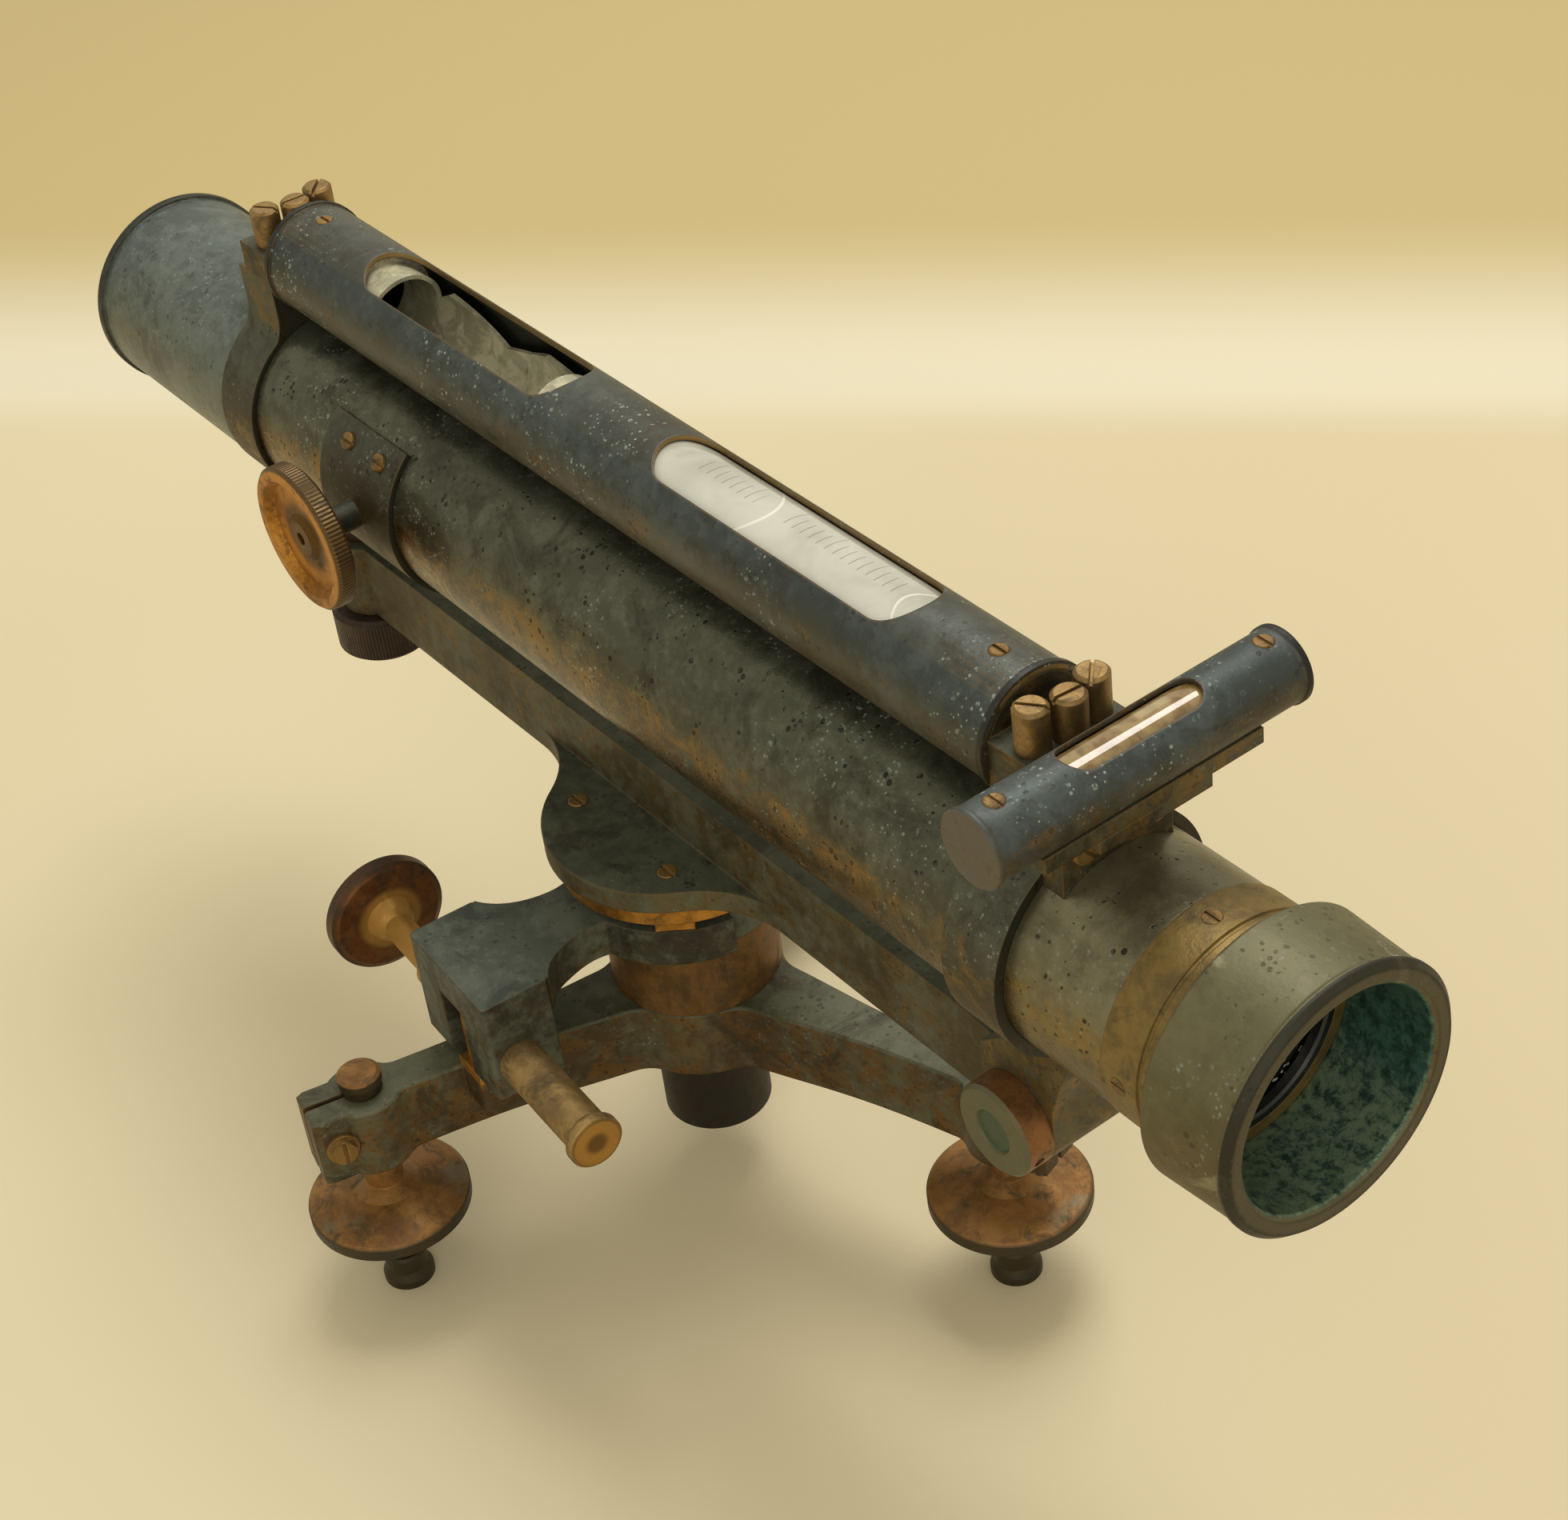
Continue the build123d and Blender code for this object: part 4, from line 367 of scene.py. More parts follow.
def bands(shade, broad, ragged, wear):
    """Ragged bands on the flanks where the coat is gone."""
    sideways = inside(shade.facing[2], -0.75, 0.42, 0.3)
    return (ragged * 0.9 + sideways * 0.4 + broad * 0.3 - (1.15 - 0.24 * wear)).between(-0.09, 0.12)


def rubbed(shade, broad, ragged, edge):
    """The rounded normal, and a mask of the worn lines along edges."""
    rounded, corner = shade.softened(LACQUER_ROUND)
    return rounded, corner * (ragged + broad * 0.4).between(0.52, 0.72) * edge


print("edges are rounded over", LACQUER_ROUND * 1000, "mm")

# %% [markdown]
# ## Bloom and pits
# Pale bloom sits on the lacquer as fine dust and as single drops, and pits go through it. Each is a
# pattern of spots that is multiplied by a broader one, because on the real coat they come in
# patches and leave clean areas between.

# %% Specks
DUST_SCALE, DROP_SCALE, PIT_SCALE = 950, 360, 620
BLOOM, PIT = rgb(150, 162, 156), rgb(22, 23, 18)


def blooming(shade, place, fine, grain, seed):
    """Masks of the dusty bloom and of the larger drops."""
    patchy = shade.noise(40, 4, 0.6, 0.3, shade.shifted((seed, 0.9, 0.2))).between(0.45, 0.62)
    dusty = shade.spots(DUST_SCALE, 0.42, 0.12, place) * patchy * fine.between(0.42, 0.58)
    drops = shade.spots(DROP_SCALE, 0.3, 0.08, shade.shifted((seed, 0.1, 0.8)))
    return dusty, drops * grain.between(0.35, 0.6) * patchy


def pitted(shade, ragged, seed):
    """A mask of dark pits."""
    holes = shade.spots(PIT_SCALE, 0.5, 0.1, shade.shifted((0.3, seed, 0.1)))
    return holes * ragged.between(0.5, 0.58)


print("dust, drops and pits per metre", DUST_SCALE, DROP_SCALE, PIT_SCALE)

# %% [markdown]
# ## The lacquer as one function
# Eleven finishes are made of these layers and differ only in colour and in how worn they are. So
# the layers are put together once, and each finish passes its own amounts. Where a piece has a stain
# or a dark rim of its own, it passes a function of zones: pairs of a mask and a colour, laid on last.

# %% Patina
BROAD_SCALE, FINE_SCALE, GRAIN_SCALE = 30, 260, 1500


# flank is the colour of sideways and downward faces: brown wear, darkened in part as painted shade.
def patina(name, top, flank, worn, wear=0.5, bloom=0.5, pits=0.5, gloss=0.42, metal=0.4, seed=0.0,
           zones=None, edge=0.7, mottle=0.5):
    """Aged lacquer on brass."""
    shade = Shade(name)
    place = shade.shifted((seed, 2 * seed, -seed))
    broad = shade.noise(BROAD_SCALE, 5, 0.6, 0.5, place)
    fine = shade.noise(FINE_SCALE, 6, 0.7, 0.2, place)
    grain = shade.noise(GRAIN_SCALE, 2, 0.5, 0.0, place)
    ragged = shade.noise(110, 8, 0.75, 0.7, place)
    bare = bands(shade, broad, ragged, wear)
    rounded, line = rubbed(shade, broad, ragged, edge)
    dusty, drops = (mask * bloom for mask in blooming(shade, place, fine, grain, seed))
    deep = pitted(shade, ragged, seed) * pits
    layers = [(bare * 0.85, worn), (line, worn), ((dusty + drops * 0.8).clamp(), BLOOM),
              (deep * 0.9, PIT)]
    colour = coat(shade, top, flank, broad, fine, mottle, seed)
    for mask, tint in layers + (zones(shade) if zones else []):
        colour = shade.blend(mask, colour, tint)
    rough = (gloss + fine * 0.3 - bare * 0.08 + dusty * 0.2).clamp()
    height = fine * 0.5 + grain * 0.2 - deep * 0.9 - bare * 0.25 + drops * 0.3
    return shade.set(Base_Color=colour, Roughness=rough,
                     Metallic=(metal + bare * 0.3 - dusty * 0.3).clamp(),
                     Normal=shade.bump(height, 0.35, 0.0005, rounded))


print("pattern scales per metre", BROAD_SCALE, FINE_SCALE, GRAIN_SCALE)

# %% [markdown]
# ## Base casting
# Three arms meet in a hub, and a boss for the tripod thread hangs below it. The casting is brown
# where oil ran down its sides, and the sides are darkened further as painted shade. The boss below
# the hub is coloured black, so one height is enough to tell it apart.

# %% Base casting
MATERIALS = {}
BOSS_TOP = 24


def tribrach_zones(shade):
    x, y, z = millimetres(shade)
    boss = (BOSS_TOP - z).between(0, 2)
    stain = shade.noise(90, 5, 0.7, 0.8).between(0.56, 0.66)
    flanks = (0.5 - shade.facing[2]).between(0, 0.4)
    return [(boss * 0.85, rgb(24, 25, 20)), (stain * flanks * 0.6, rgb(36, 34, 24))]


MATERIALS["tribrach"] = patina("tribrach", rgb(74, 76, 58), rgb(66, 44, 14), rgb(112, 76, 26),
                               wear=0.45, bloom=0.3, seed=0.2, zones=tribrach_zones)
print("the boss is black below", BOSS_TOP, "mm")

# %% [markdown]
# ## Clamp, bar and bracket
# These castings have no marks of their own. Only their colours differ, from the grey clamp to the
# browner bracket, and another seed moves the pattern so that no two pieces carry the same stain.

# %% Plain castings
MATERIALS["clamp"] = patina("clamp", rgb(78, 84, 74), rgb(36, 30, 15), rgb(96, 74, 34),
                            wear=0.25, bloom=0.15, seed=0.5)
MATERIALS["bar"] = patina("bar", rgb(74, 78, 64), rgb(70, 55, 22), rgb(106, 82, 36),
                          wear=0.4, bloom=0.2, seed=0.9)
MATERIALS["bracket"] = patina("bracket", rgb(66, 66, 50), rgb(48, 40, 22), rgb(122, 96, 46),
                              wear=0.5, bloom=0.3, seed=3.4)
print("plain castings", list(MATERIALS))

# %% [markdown]
# ## Collars
# The two collars hold the telescope. The front face of the near one is painted dark as painted
# shade, since it turns away from the main lamp, and the legs below it aren't. A mask on the facing
# finds the face, and a height leaves out the legs.

# %% Collars
COLLAR_FOOT = 112


def collar_shade_zones(shade):
    x, y, z = millimetres(shade)
    # Painted shade: faces toward the near end are darkened, where the lamp behind does not reach.
    face = shade.facing[0].between(0.6, 0.9) * (z - COLLAR_FOOT).between(0, 4)
    return [(face * 0.8, rgb(30, 32, 26))]


MATERIALS["collar"] = patina("collar", rgb(66, 68, 56), rgb(66, 53, 24), rgb(124, 98, 46),
                             wear=0.5, pits=0.8, seed=1.3, zones=collar_shade_zones)
print("wax above", COLLAR_FOOT, "mm")

# %% [markdown]
# ## Body tube and nose tube
# The tubes were handled most, so brass shows along their flanks, and they're smoother and more
# metallic than the castings. The nose tube went a paler olive.

# %% Tubes
MATERIALS["tube"] = patina("tube", rgb(80, 83, 70), rgb(60, 48, 24), rgb(128, 100, 50),
                           wear=0.75, bloom=0.8, pits=1.0, gloss=0.16, metal=0.65, seed=1.7)
MATERIALS["nose"] = patina("nose", rgb(114, 110, 86), rgb(74, 60, 28), rgb(138, 112, 58),
                           wear=0.65, pits=1.0, gloss=0.18, metal=0.6, seed=2.1, mottle=0.3)
print("tubes ready")

# %% [markdown]
# ## Ray shade
# The ray shade keeps the sun off the objective. Damp settled inside it, so it's green there with a
# pale crust at the bottom, and the mouth is black where it stood on its end. The green could be a
# second material on the inner faces, but its edge would then be as sharp as the mesh. Masks from
# the distance to the axis let it fade and break up.

# %% Ray shade
HOOD_BORE, HOOD_BACK, HOOD_FRONT = 23.8, 189.5, 212.0
HOOD_LIP, HOOD_EDGE, CRUST_TOP = 23.9, 26.8, 131


def hood_zones(shade):
    x, y, z = millimetres(shade)
    reach = off_axis(y, z, (0, TUBE_AXIS))
    stain = shade.noise(420, 7, 0.75, 0.3)
    within = (HOOD_BORE - reach).between(0.0, 0.4) * (x - HOOD_BACK).between(0, 0.4)
    crust = within * (CRUST_TOP - z + stain * 14).between(-2, 8) * stain.between(0.36, 0.6)
    rim = inside(x, 209.6, HOOD_FRONT) * (reach - 26.6 + stain * 1.6).between(0, 1.0)
    ring = (HOOD_EDGE - reach).between(0, 0.6) * (reach - HOOD_LIP).between(0, 0.4)
    face = inside(x, 210.8, HOOD_FRONT) * ring
    green = shade.blend(stain.between(0.35, 0.65), rgb(30, 58, 52), rgb(72, 110, 96))
    drip = shade.noise(60, 5, 0.6, 0.9, shade.stretched((0.5, 1.6, 0.6))).between(0.6, 0.68)
    return [(drip * 0.45, rgb(160, 156, 126)), (within, green), (crust * 0.7, rgb(124, 140, 112)),
            (rim * 0.85, PIT), (face * 0.8, rgb(70, 62, 44))]


MATERIALS["hood"] = patina("hood", rgb(96, 92, 66), rgb(86, 72, 38), rgb(122, 100, 54), wear=0.25,
                           bloom=0.5, gloss=0.36, seed=3.1, zones=hood_zones, mottle=0.2)
print("green behind", HOOD_BACK, "mm, within", HOOD_BORE, "mm of the axis")

# %% [markdown]
# ## Guard at the eye end
# A wide thin tube shields the eyepiece. It faces away from the light in the photograph and looks
# blue-grey and cloudy, with a black line round its lip.

# %% Guard
GUARD_LIP = -204.9


def guard_zones(shade):
    x, y, z = millimetres(shade)
    mottle = shade.noise(60, 6, 0.7, 1.2).between(0.48, 0.68)
    lip = (GUARD_LIP - x).between(0, 0.4)
    return [(mottle * 0.5, rgb(120, 132, 130)), (lip * 0.85, PIT)]


MATERIALS["guard"] = patina("guard", rgb(84, 92, 88), rgb(78, 80, 70), rgb(112, 108, 84), wear=0.25,
                            bloom=0.5, gloss=0.26, metal=0.5, seed=3.7, zones=guard_zones)
print("lip from", GUARD_LIP, "mm on")

# %% [markdown]
# ## Casings of the two levels
# Both casings are the darkest blue on the instrument. Fingers that wiped the windows left a bright
# line beside them on the long casing, and its hollow is dark. The cross casing has a brown disc at
# one end and a black lip at the other.

# %% Casings
CASING_BORE, CASING_LIP, WINDOW_HALF_WIDTH = 11.95, 13.2, 8.4
CROSS_DISC, CROSS_LIP = -37.3, 34.7


def level_zones(shade):
    x, y, z = millimetres(shade)
    reach = off_axis(y, z, (0, LEVEL_AXIS))
    sill = inside(reach, 11.6, 13.0, 0.1) * (WINDOW_HALF_WIDTH - y.size()).between(0, 0.3)
    edge = (z - LEVEL_AXIS - 7).between(0, 1) * sill
    lip = (reach - CASING_LIP).between(0.05, 0.2)
    hollow = (CASING_BORE - reach).between(0, 0.05)
    return [(edge * 0.8, rgb(150, 122, 70)), (lip * 0.7, PIT), (hollow, rgb(30, 34, 28))]


def cross_zones(shade):
    x, y, z = millimetres(shade)
    disc = (CROSS_DISC - y).between(0, 0.2)
    lip = (y - CROSS_LIP).between(0, 0.2)
    return [(disc * 0.75, rgb(104, 96, 84)), (lip * 0.85, PIT)]


MATERIALS["level"] = patina("level", rgb(56, 64, 63), rgb(70, 62, 42), rgb(108, 84, 46), wear=0.35,
                            bloom=1.0, gloss=0.26, seed=2.6, zones=level_zones)
MATERIALS["cross"] = patina("cross", rgb(58, 66, 66), rgb(70, 62, 44), rgb(116, 92, 54), wear=0.4,
                            bloom=1.0, gloss=0.36, seed=2.9, zones=cross_zones)
print("lacquers", sorted(MATERIALS))

# %% [markdown]
# ## Bare brass
# Knobs, screws and rings were never lacquered. Their brass has gone from gold to copper brown, with
# dark tarnish in patches. The layers are fewer than for the lacquer: two metals mixed by noise,
# then the tarnish, which is rougher and less metallic than the brass round it.

# %% Brass
BRASS_ROUND = 0.0004


def brass(name, gold, brown, dark, tarnish=0.5, gloss=0.32, metal=0.8, seed=0.0, zones=None,
          rim=None):
    """Tarnished brass; rim is a function of the shade that returns a bump height for milling."""
    shade = Shade(name)
    place = shade.shifted((seed, -seed, 3 * seed))
    broad = shade.noise(80, 5, 0.65, 0.6, place)
    fine = shade.noise(520, 6, 0.7, 0.2, place)
    colour = shade.blend((broad + fine * 0.4).between(0.52, 0.78 + 0.2 * tarnish), brown, gold)
    cloudy = shade.noise(140, 7, 0.75, 0.8, shade.shifted((0.4, seed, 0.7)))
    stain = (cloudy + 0.25 * tarnish).between(0.56, 0.76)
    colour = shade.blend(stain * 0.85, colour, dark)
    for mask, tint in (zones(shade) if zones else []):
        colour = shade.blend(mask, colour, tint)
    height = fine - stain * 0.4
    if rim:
        height = height + rim(shade)
    rounded, _ = shade.softened(BRASS_ROUND)
    return shade.set(Base_Color=colour, Roughness=(gloss + fine * 0.25 + stain * 0.2).clamp(),
                     Metallic=(metal - stain * 0.3).clamp(),
                     Normal=shade.bump(height, 0.3, 0.0005, rounded))


print("brass edges are rounded over", BRASS_ROUND * 1000, "mm")

# %% [markdown]
# ## Plain brasses
# Pieces without marks of their own take one of four plain mixes: bright gold for the disc and the
# pieces inside, a dull ring for the cell, and paler ones for the nuts and screws.

# %% Plain brasses
MATERIALS["gold"] = brass("gold", rgb(186, 134, 56), rgb(134, 90, 38), rgb(70, 52, 28),
                          tarnish=0.2, seed=0.3)
MATERIALS["ring"] = brass("ring", rgb(134, 112, 62), rgb(106, 88, 52), rgb(78, 66, 42),
                          tarnish=0.2, gloss=0.3, metal=0.6, seed=0.8)
MATERIALS["nut"] = brass("nut", rgb(160, 130, 82), rgb(124, 98, 62), rgb(92, 78, 48),
                         tarnish=0.3, gloss=0.3, seed=1.1)
MATERIALS["screw"] = brass("screw", rgb(146, 114, 62), rgb(116, 88, 48), rgb(70, 58, 36),
                           tarnish=0.3, metal=0.6, seed=1.4)
print("plain brasses ready")

# %% [markdown]
# ## Milled knobs
# The focusing knob and the tilting screw have milled rims for the fingers. A hundred teeth could be
# cut into the mesh, but they're a third of a millimetre deep. Teeth this fine read as a texture, so
# they're a bump: a wave along the angle about the knob's axis, on the rim only.

# %% Milled knobs
FOCUS_CENTRE, FOCUS_TEETH, FOCUS_RIM = (-79.5, TUBE_AXIS), 110, 17.6
TILT_CENTRE, TILT_TEETH, TILT_RIM = (-131.9, 0), 90, 12.3


def milling(first, second, centre, teeth):
    """A wave along the angle about an axis."""
    run = first - centre[0]
    return (run.math("ARCTAN2", run, second - centre[1]) * teeth).wave()


def focus_rim(shade):
    x, y, z = millimetres(shade)
    rim = (off_axis(x, z, FOCUS_CENTRE) - FOCUS_RIM).between(0, 0.2)
    return milling(x, z, FOCUS_CENTRE, FOCUS_TEETH) * rim * 2.0


def tilt_rim(shade):
    x, y, z = millimetres(shade)
    rim = (off_axis(x, y, TILT_CENTRE) - TILT_RIM).between(0, 0.2)
    return milling(x, y, TILT_CENTRE, TILT_TEETH) * rim * 1.5


print("teeth on the focusing knob and the tilting screw", FOCUS_TEETH, TILT_TEETH)

# %% [markdown]
# ## Focusing knob and tilting screw
# The face of the focusing knob is still golden, with a dark hub where a key turned and a dull band
# inside the rim. The tilting screw under the eye end is coloured nearly black.

# %% Knob finishes
FOCUS_HUB, FOCUS_BAND = 8.5, 17.0


def focus_zones(shade):
    x, y, z = millimetres(shade)
    reach = off_axis(x, z, FOCUS_CENTRE)
    hub = (FOCUS_HUB - reach).between(-2, 2)
    band = (reach - FOCUS_BAND).between(0, 0.5)
    return [(hub * 0.8, rgb(56, 40, 20)), (band * 0.85, rgb(74, 66, 50))]


MATERIALS["focus"] = brass("focus", rgb(188, 134, 56), rgb(140, 92, 34), rgb(74, 50, 24),
                           tarnish=0.2, seed=0.4, zones=focus_zones, rim=focus_rim)
MATERIALS["tilt"] = brass("tilt", rgb(66, 48, 34), rgb(46, 34, 26), rgb(28, 24, 18),
                          tarnish=0.4, metal=0.5, seed=2.2, rim=tilt_rim)
print("the hub of the knob is", 2 * FOCUS_HUB, "mm across")

# %% [markdown]
# ## Pivot screw
# The telescope tilts on this screw. Its flat face carries grey-green wax, greenest in the shallow
# recess in the middle.

# %% Pivot screw
PIVOT_CENTRE = (133.5, 96.15)
PIVOT_FACE, PIVOT_RECESS = -16.5, 4.9


def pivot_zones(shade):
    x, y, z = millimetres(shade)
    reach = off_axis(x, z, PIVOT_CENTRE)
    face = (PIVOT_FACE - y).between(0, 0.1)
    recess = (PIVOT_RECESS - reach).between(-0.2, 0.2)
    mottle = shade.noise(240, 5, 0.7, 0.3).between(0.4, 0.66)
    return [(face * (0.95 - mottle * 0.2), rgb(96, 98, 76)), (face * recess * 0.7, rgb(58, 84, 62))]


MATERIALS["pivot"] = brass("pivot", rgb(140, 96, 54), rgb(100, 66, 38), rgb(58, 44, 28),
                           tarnish=0.3, metal=0.55, seed=2.6, zones=pivot_zones)
print("recess of", 2 * PIVOT_RECESS, "mm")

# %% [markdown]
# ## Footscrews
# Three footscrews level the instrument. The fingers kept the rims of their knobs brown, while the
# feet and the caps on top went dark. One height mask does for all three, since they stand alike.

# %% Footscrews
FEET_TOP, CAP_FOOT, CAP_TOP = 10.4, 44, 49.6


def foot_zones(shade):
    x, y, z = millimetres(shade)
    feet = (FEET_TOP - z).between(-0.3, 0.5)
    grey = shade.noise(60, 4, 0.6, 0.4).between(0.55, 0.66) * inside(z, 10, 30, 0.5)
    cap = (z - CAP_FOOT).between(0, 0.5) * (CAP_TOP - z).between(0, 0.4)
    return [(grey * 0.6, rgb(112, 110, 92)), (feet * 0.88, rgb(34, 38, 28)),
            (cap * 0.85, rgb(44, 42, 28))]


MATERIALS["foot"] = brass("foot", rgb(152, 110, 58), rgb(114, 80, 42), rgb(64, 54, 34),
                          tarnish=0.3, metal=0.55, seed=2.0, zones=foot_zones)
print("dark below", FEET_TOP, "mm and from", CAP_FOOT, "to", CAP_TOP, "mm")

# %% [markdown]
# ## Tangent screw and spring barrel
# Both lie across the clamp arm, which doesn't point along an axis of the object. Their masks need
# distances along the arm and across it, and two sums turn x and y into them. The knob has a golden
# hub and a dark rim, and the end of the barrel is golden with a dark centre.

# %% Tangent pieces
CLAMP_ANGLE = math.radians(-94)
TANGENT_CENTRE = (56.5, 58.8)
TANGENT_HUB, TANGENT_RIM = 8.0, 13.4
BARREL_END, BARREL_CENTRE, BARREL_BORDER = 50.9, 2.6, 5.4


def along_clamp(shade):
    """Places out along the clamp arm, across it, and up."""
    x, y, z = millimetres(shade)
    return (x * math.cos(CLAMP_ANGLE) + y * math.sin(CLAMP_ANGLE),
            y * math.cos(CLAMP_ANGLE) - x * math.sin(CLAMP_ANGLE), z)


def tangent_zones(shade):
    out, across, z = along_clamp(shade)
    reach = off_axis(out, z, TANGENT_CENTRE)
    hub = (TANGENT_HUB - reach).between(-1, 1)
    rim = (reach - TANGENT_RIM).between(0, 1)
    return [(hub * 0.75, rgb(178, 136, 64)), (rim * 0.7, rgb(60, 48, 34))]


def barrel_zones(shade):
    out, across, z = along_clamp(shade)
    reach = off_axis(out, z, TANGENT_CENTRE)
    end = (across - BARREL_END).between(0, 0.3)
    centre = (BARREL_CENTRE - reach).between(-1, 1)
    border = (reach - BARREL_BORDER).between(0, 0.6)
    return [(end * 0.8, rgb(176, 130, 56)), (end * centre * 0.7, rgb(64, 46, 24)),
            (end * border * 0.6, rgb(92, 80, 52))]


MATERIALS["brown"] = brass("brown", rgb(122, 76, 34), rgb(82, 50, 24), rgb(40, 30, 18),
                           tarnish=0.4, metal=0.6, seed=1.9, zones=tangent_zones)
MATERIALS["barrel"] = brass("barrel", rgb(170, 142, 92), rgb(128, 106, 72), rgb(84, 70, 48),
                            tarnish=0.4, gloss=0.38, seed=0.6, zones=barrel_zones)
print("the barrel ends", BARREL_END, "mm across the clamp")

# %% [markdown]
# ## Drum
# The brass drum carries the limb. Oil from the bearing ran down it, so its stains are noise that is
# stretched upwards. The neck above, where the clamp turns, is painted dark as painted shade under
# the disc.

# %% Drum
NECK_START = 67.1


def drum_zones(shade):
    x, y, z = millimetres(shade)
    streak = shade.noise(90, 5, 0.6, 0.2, shade.stretched((1, 1, 0.25))).between(0.52, 0.64)
    # Painted shade: the neck under the disc and flange is darkened.
    shaded_neck = (z - NECK_START).between(0, 0.2)
    return [(streak * 0.5, rgb(60, 44, 22)), (shaded_neck * 0.8, rgb(44, 38, 24))]


MATERIALS["drum"] = brass("drum", rgb(116, 84, 42), rgb(88, 62, 30), rgb(52, 40, 22),
                          tarnish=0.3, gloss=0.4, metal=0.55, seed=2.3, zones=drum_zones)
print("brasses ready, materials so far", len(MATERIALS))

# %% [markdown]
# ## The glass of the long level
# The near vial still holds its spirit and looks milky over its packing. Real glass could be
# transmission, but it's slow, and other viewers show it in their own way. A clear coat over an
# opaque colour looks the same everywhere. The graduations are a line every tenth of an inch, longer
# at every fifth, in two groups, and two pale curves are the ends of the bubble.

# %% Vial glass
DIVISION, LONG_DIVISION = 2.54, 12.7


def graduations(x, y, z):
    """A mask of the engraved lines on the upper side of the glass."""
    tick = inside((x / DIVISION).beat(), 0.45, 0.55, 0.02)
    groups = inside(x, 33, 52, 0.2) + inside(x, 60, 96, 0.2)
    longer = (x / LONG_DIVISION).beat().between(0.76, 0.8)
    reach = inside(y, -1.0, 3.0, 0.3) + longer * inside(y, 2.8, 5.0, 0.3)
    return (tick * groups * reach * (z - LEVEL_AXIS)).between(0.5, 3).clamp()


def bubble(x, y):
    """A mask of the two curved lines where the bubble ends."""
    curve = (y + 1) * (y + 1) * 0.1
    return inside(x + curve, 57.5, 58.3, 0.15) + inside(x - curve, 98.4, 99.0, 0.15)


def vial_glass():
    shade = Shade("vial_glass")
    x, y, z = millimetres(shade)
    haze = shade.noise(45, 4, 0.6, 0.4)
    colour = shade.blend(haze.between(0.35, 0.65), rgb(168, 168, 156), rgb(196, 196, 186))
    near = 1 - (y + 1.0).between(-7.5, 3.0)
    crud = 1 - (8.5 - y.size() + haze * 1.2).between(0.2, 1.4)
    layers = [(near * 0.6, rgb(208, 208, 198)), (graduations(x, y, z) * 0.6, rgb(104, 104, 96)),
              ((bubble(x, y) * 0.7).clamp(), rgb(236, 236, 230)), (crud * 0.8, rgb(148, 120, 72))]
    for mask, tint in layers:
        colour = shade.blend(mask, colour, tint)
    return shade.set(Base_Color=colour, Roughness=0.08, Coat_Weight=1.0, Coat_Roughness=0.02)


MATERIALS["vial"] = vial_glass()
print("a line every", DIVISION, "mm")

# %% [markdown]
# ## The other glasses
# The cross vial is stained amber, with a pale bubble. The far vial broke long ago and its shards
# are dusty, with spots of rust. The objective looks nearly black from outside, because the tube
# behind it is, so only the dust on it has a colour.

# %% Other glasses
def amber_glass():
    shade = Shade("amber_glass")
    x, y, z = millimetres(shade)
    wave = shade.noise(300, 3, 0.5, 0.5)
    colour = shade.blend(wave.between(0.35, 0.65), rgb(112, 86, 48), rgb(150, 126, 84))
    pale = inside(y, 2.0, 9.5, 0.5) * inside(x, 157.8, 160.6, 0.4)
    colour = shade.blend(pale * 0.5, colour, rgb(186, 170, 130))
    return shade.set(Base_Color=colour, Roughness=0.06, Coat_Weight=1.0, Coat_Roughness=0.02)


def broken_glass():
    shade = Shade("broken_glass")
    stain = shade.noise(120, 6, 0.7, 0.6)
    colour = shade.blend(stain.between(0.42, 0.6), rgb(150, 148, 124), rgb(196, 190, 164))
    rust = shade.noise(200, 6, 0.7, 0.6, shade.shifted((0.3, 0.1, 0.5))).between(0.6, 0.68)
    colour = shade.blend(rust * 0.8, colour, rgb(120, 76, 40))
    return shade.set(Base_Color=colour, Roughness=0.16, Coat_Weight=0.7, Coat_Roughness=0.04)


def lens_glass():
    shade = Shade("lens_glass")
    dust = (0.3 - shade.cells(700)).between(0.0, 0.08) * shade.noise(90, 4, 0.6).between(0.48, 0.58)
    colour = shade.blend(dust, rgb(10, 12, 13), rgb(190, 192, 184))
    return shade.set(Base_Color=colour, Roughness=(0.04 + dust * 0.6).clamp(), Coat_Weight=1.0,
                     Coat_Roughness=0.02)


MATERIALS.update({"amber": amber_glass(), "broken": broken_glass(), "lens": lens_glass()})
print("glasses ready")

# %% [markdown]
# ## Plaster and blackened rings
# The vials were set in plaster, which is chalky and stained. The rings inside the telescope were
# blackened against stray light and are a little worn. Both need one pattern only.

# %% Plaster and black
def plaster():
    shade = Shade("plaster")
    dirt = shade.noise(240, 7, 0.75, 0.6)
    colour = shade.blend(dirt.between(0.4, 0.66), rgb(186, 178, 148), rgb(120, 92, 56))
    return shade.set(Base_Color=colour, Roughness=0.85, Normal=shade.bump(dirt, 0.6, 0.0006))


def black_ring():
    shade = Shade("black_ring")
    wear = shade.noise(180, 6, 0.7, 0.3).between(0.5, 0.66)
    colour = shade.blend(wear * 0.5, rgb(16, 17, 15), rgb(58, 56, 46))
    return shade.set(Base_Color=colour, Roughness=0.34)


MATERIALS.update({"plaster": plaster(), "black": black_ring()})
print("materials", len(MATERIALS))

# %% [markdown]
# ## Dress the pieces
# The frame's nodes keep their shapes, and each takes one finish. A table of finishes and names is
# easier to check against the photograph than a line of code for each piece.

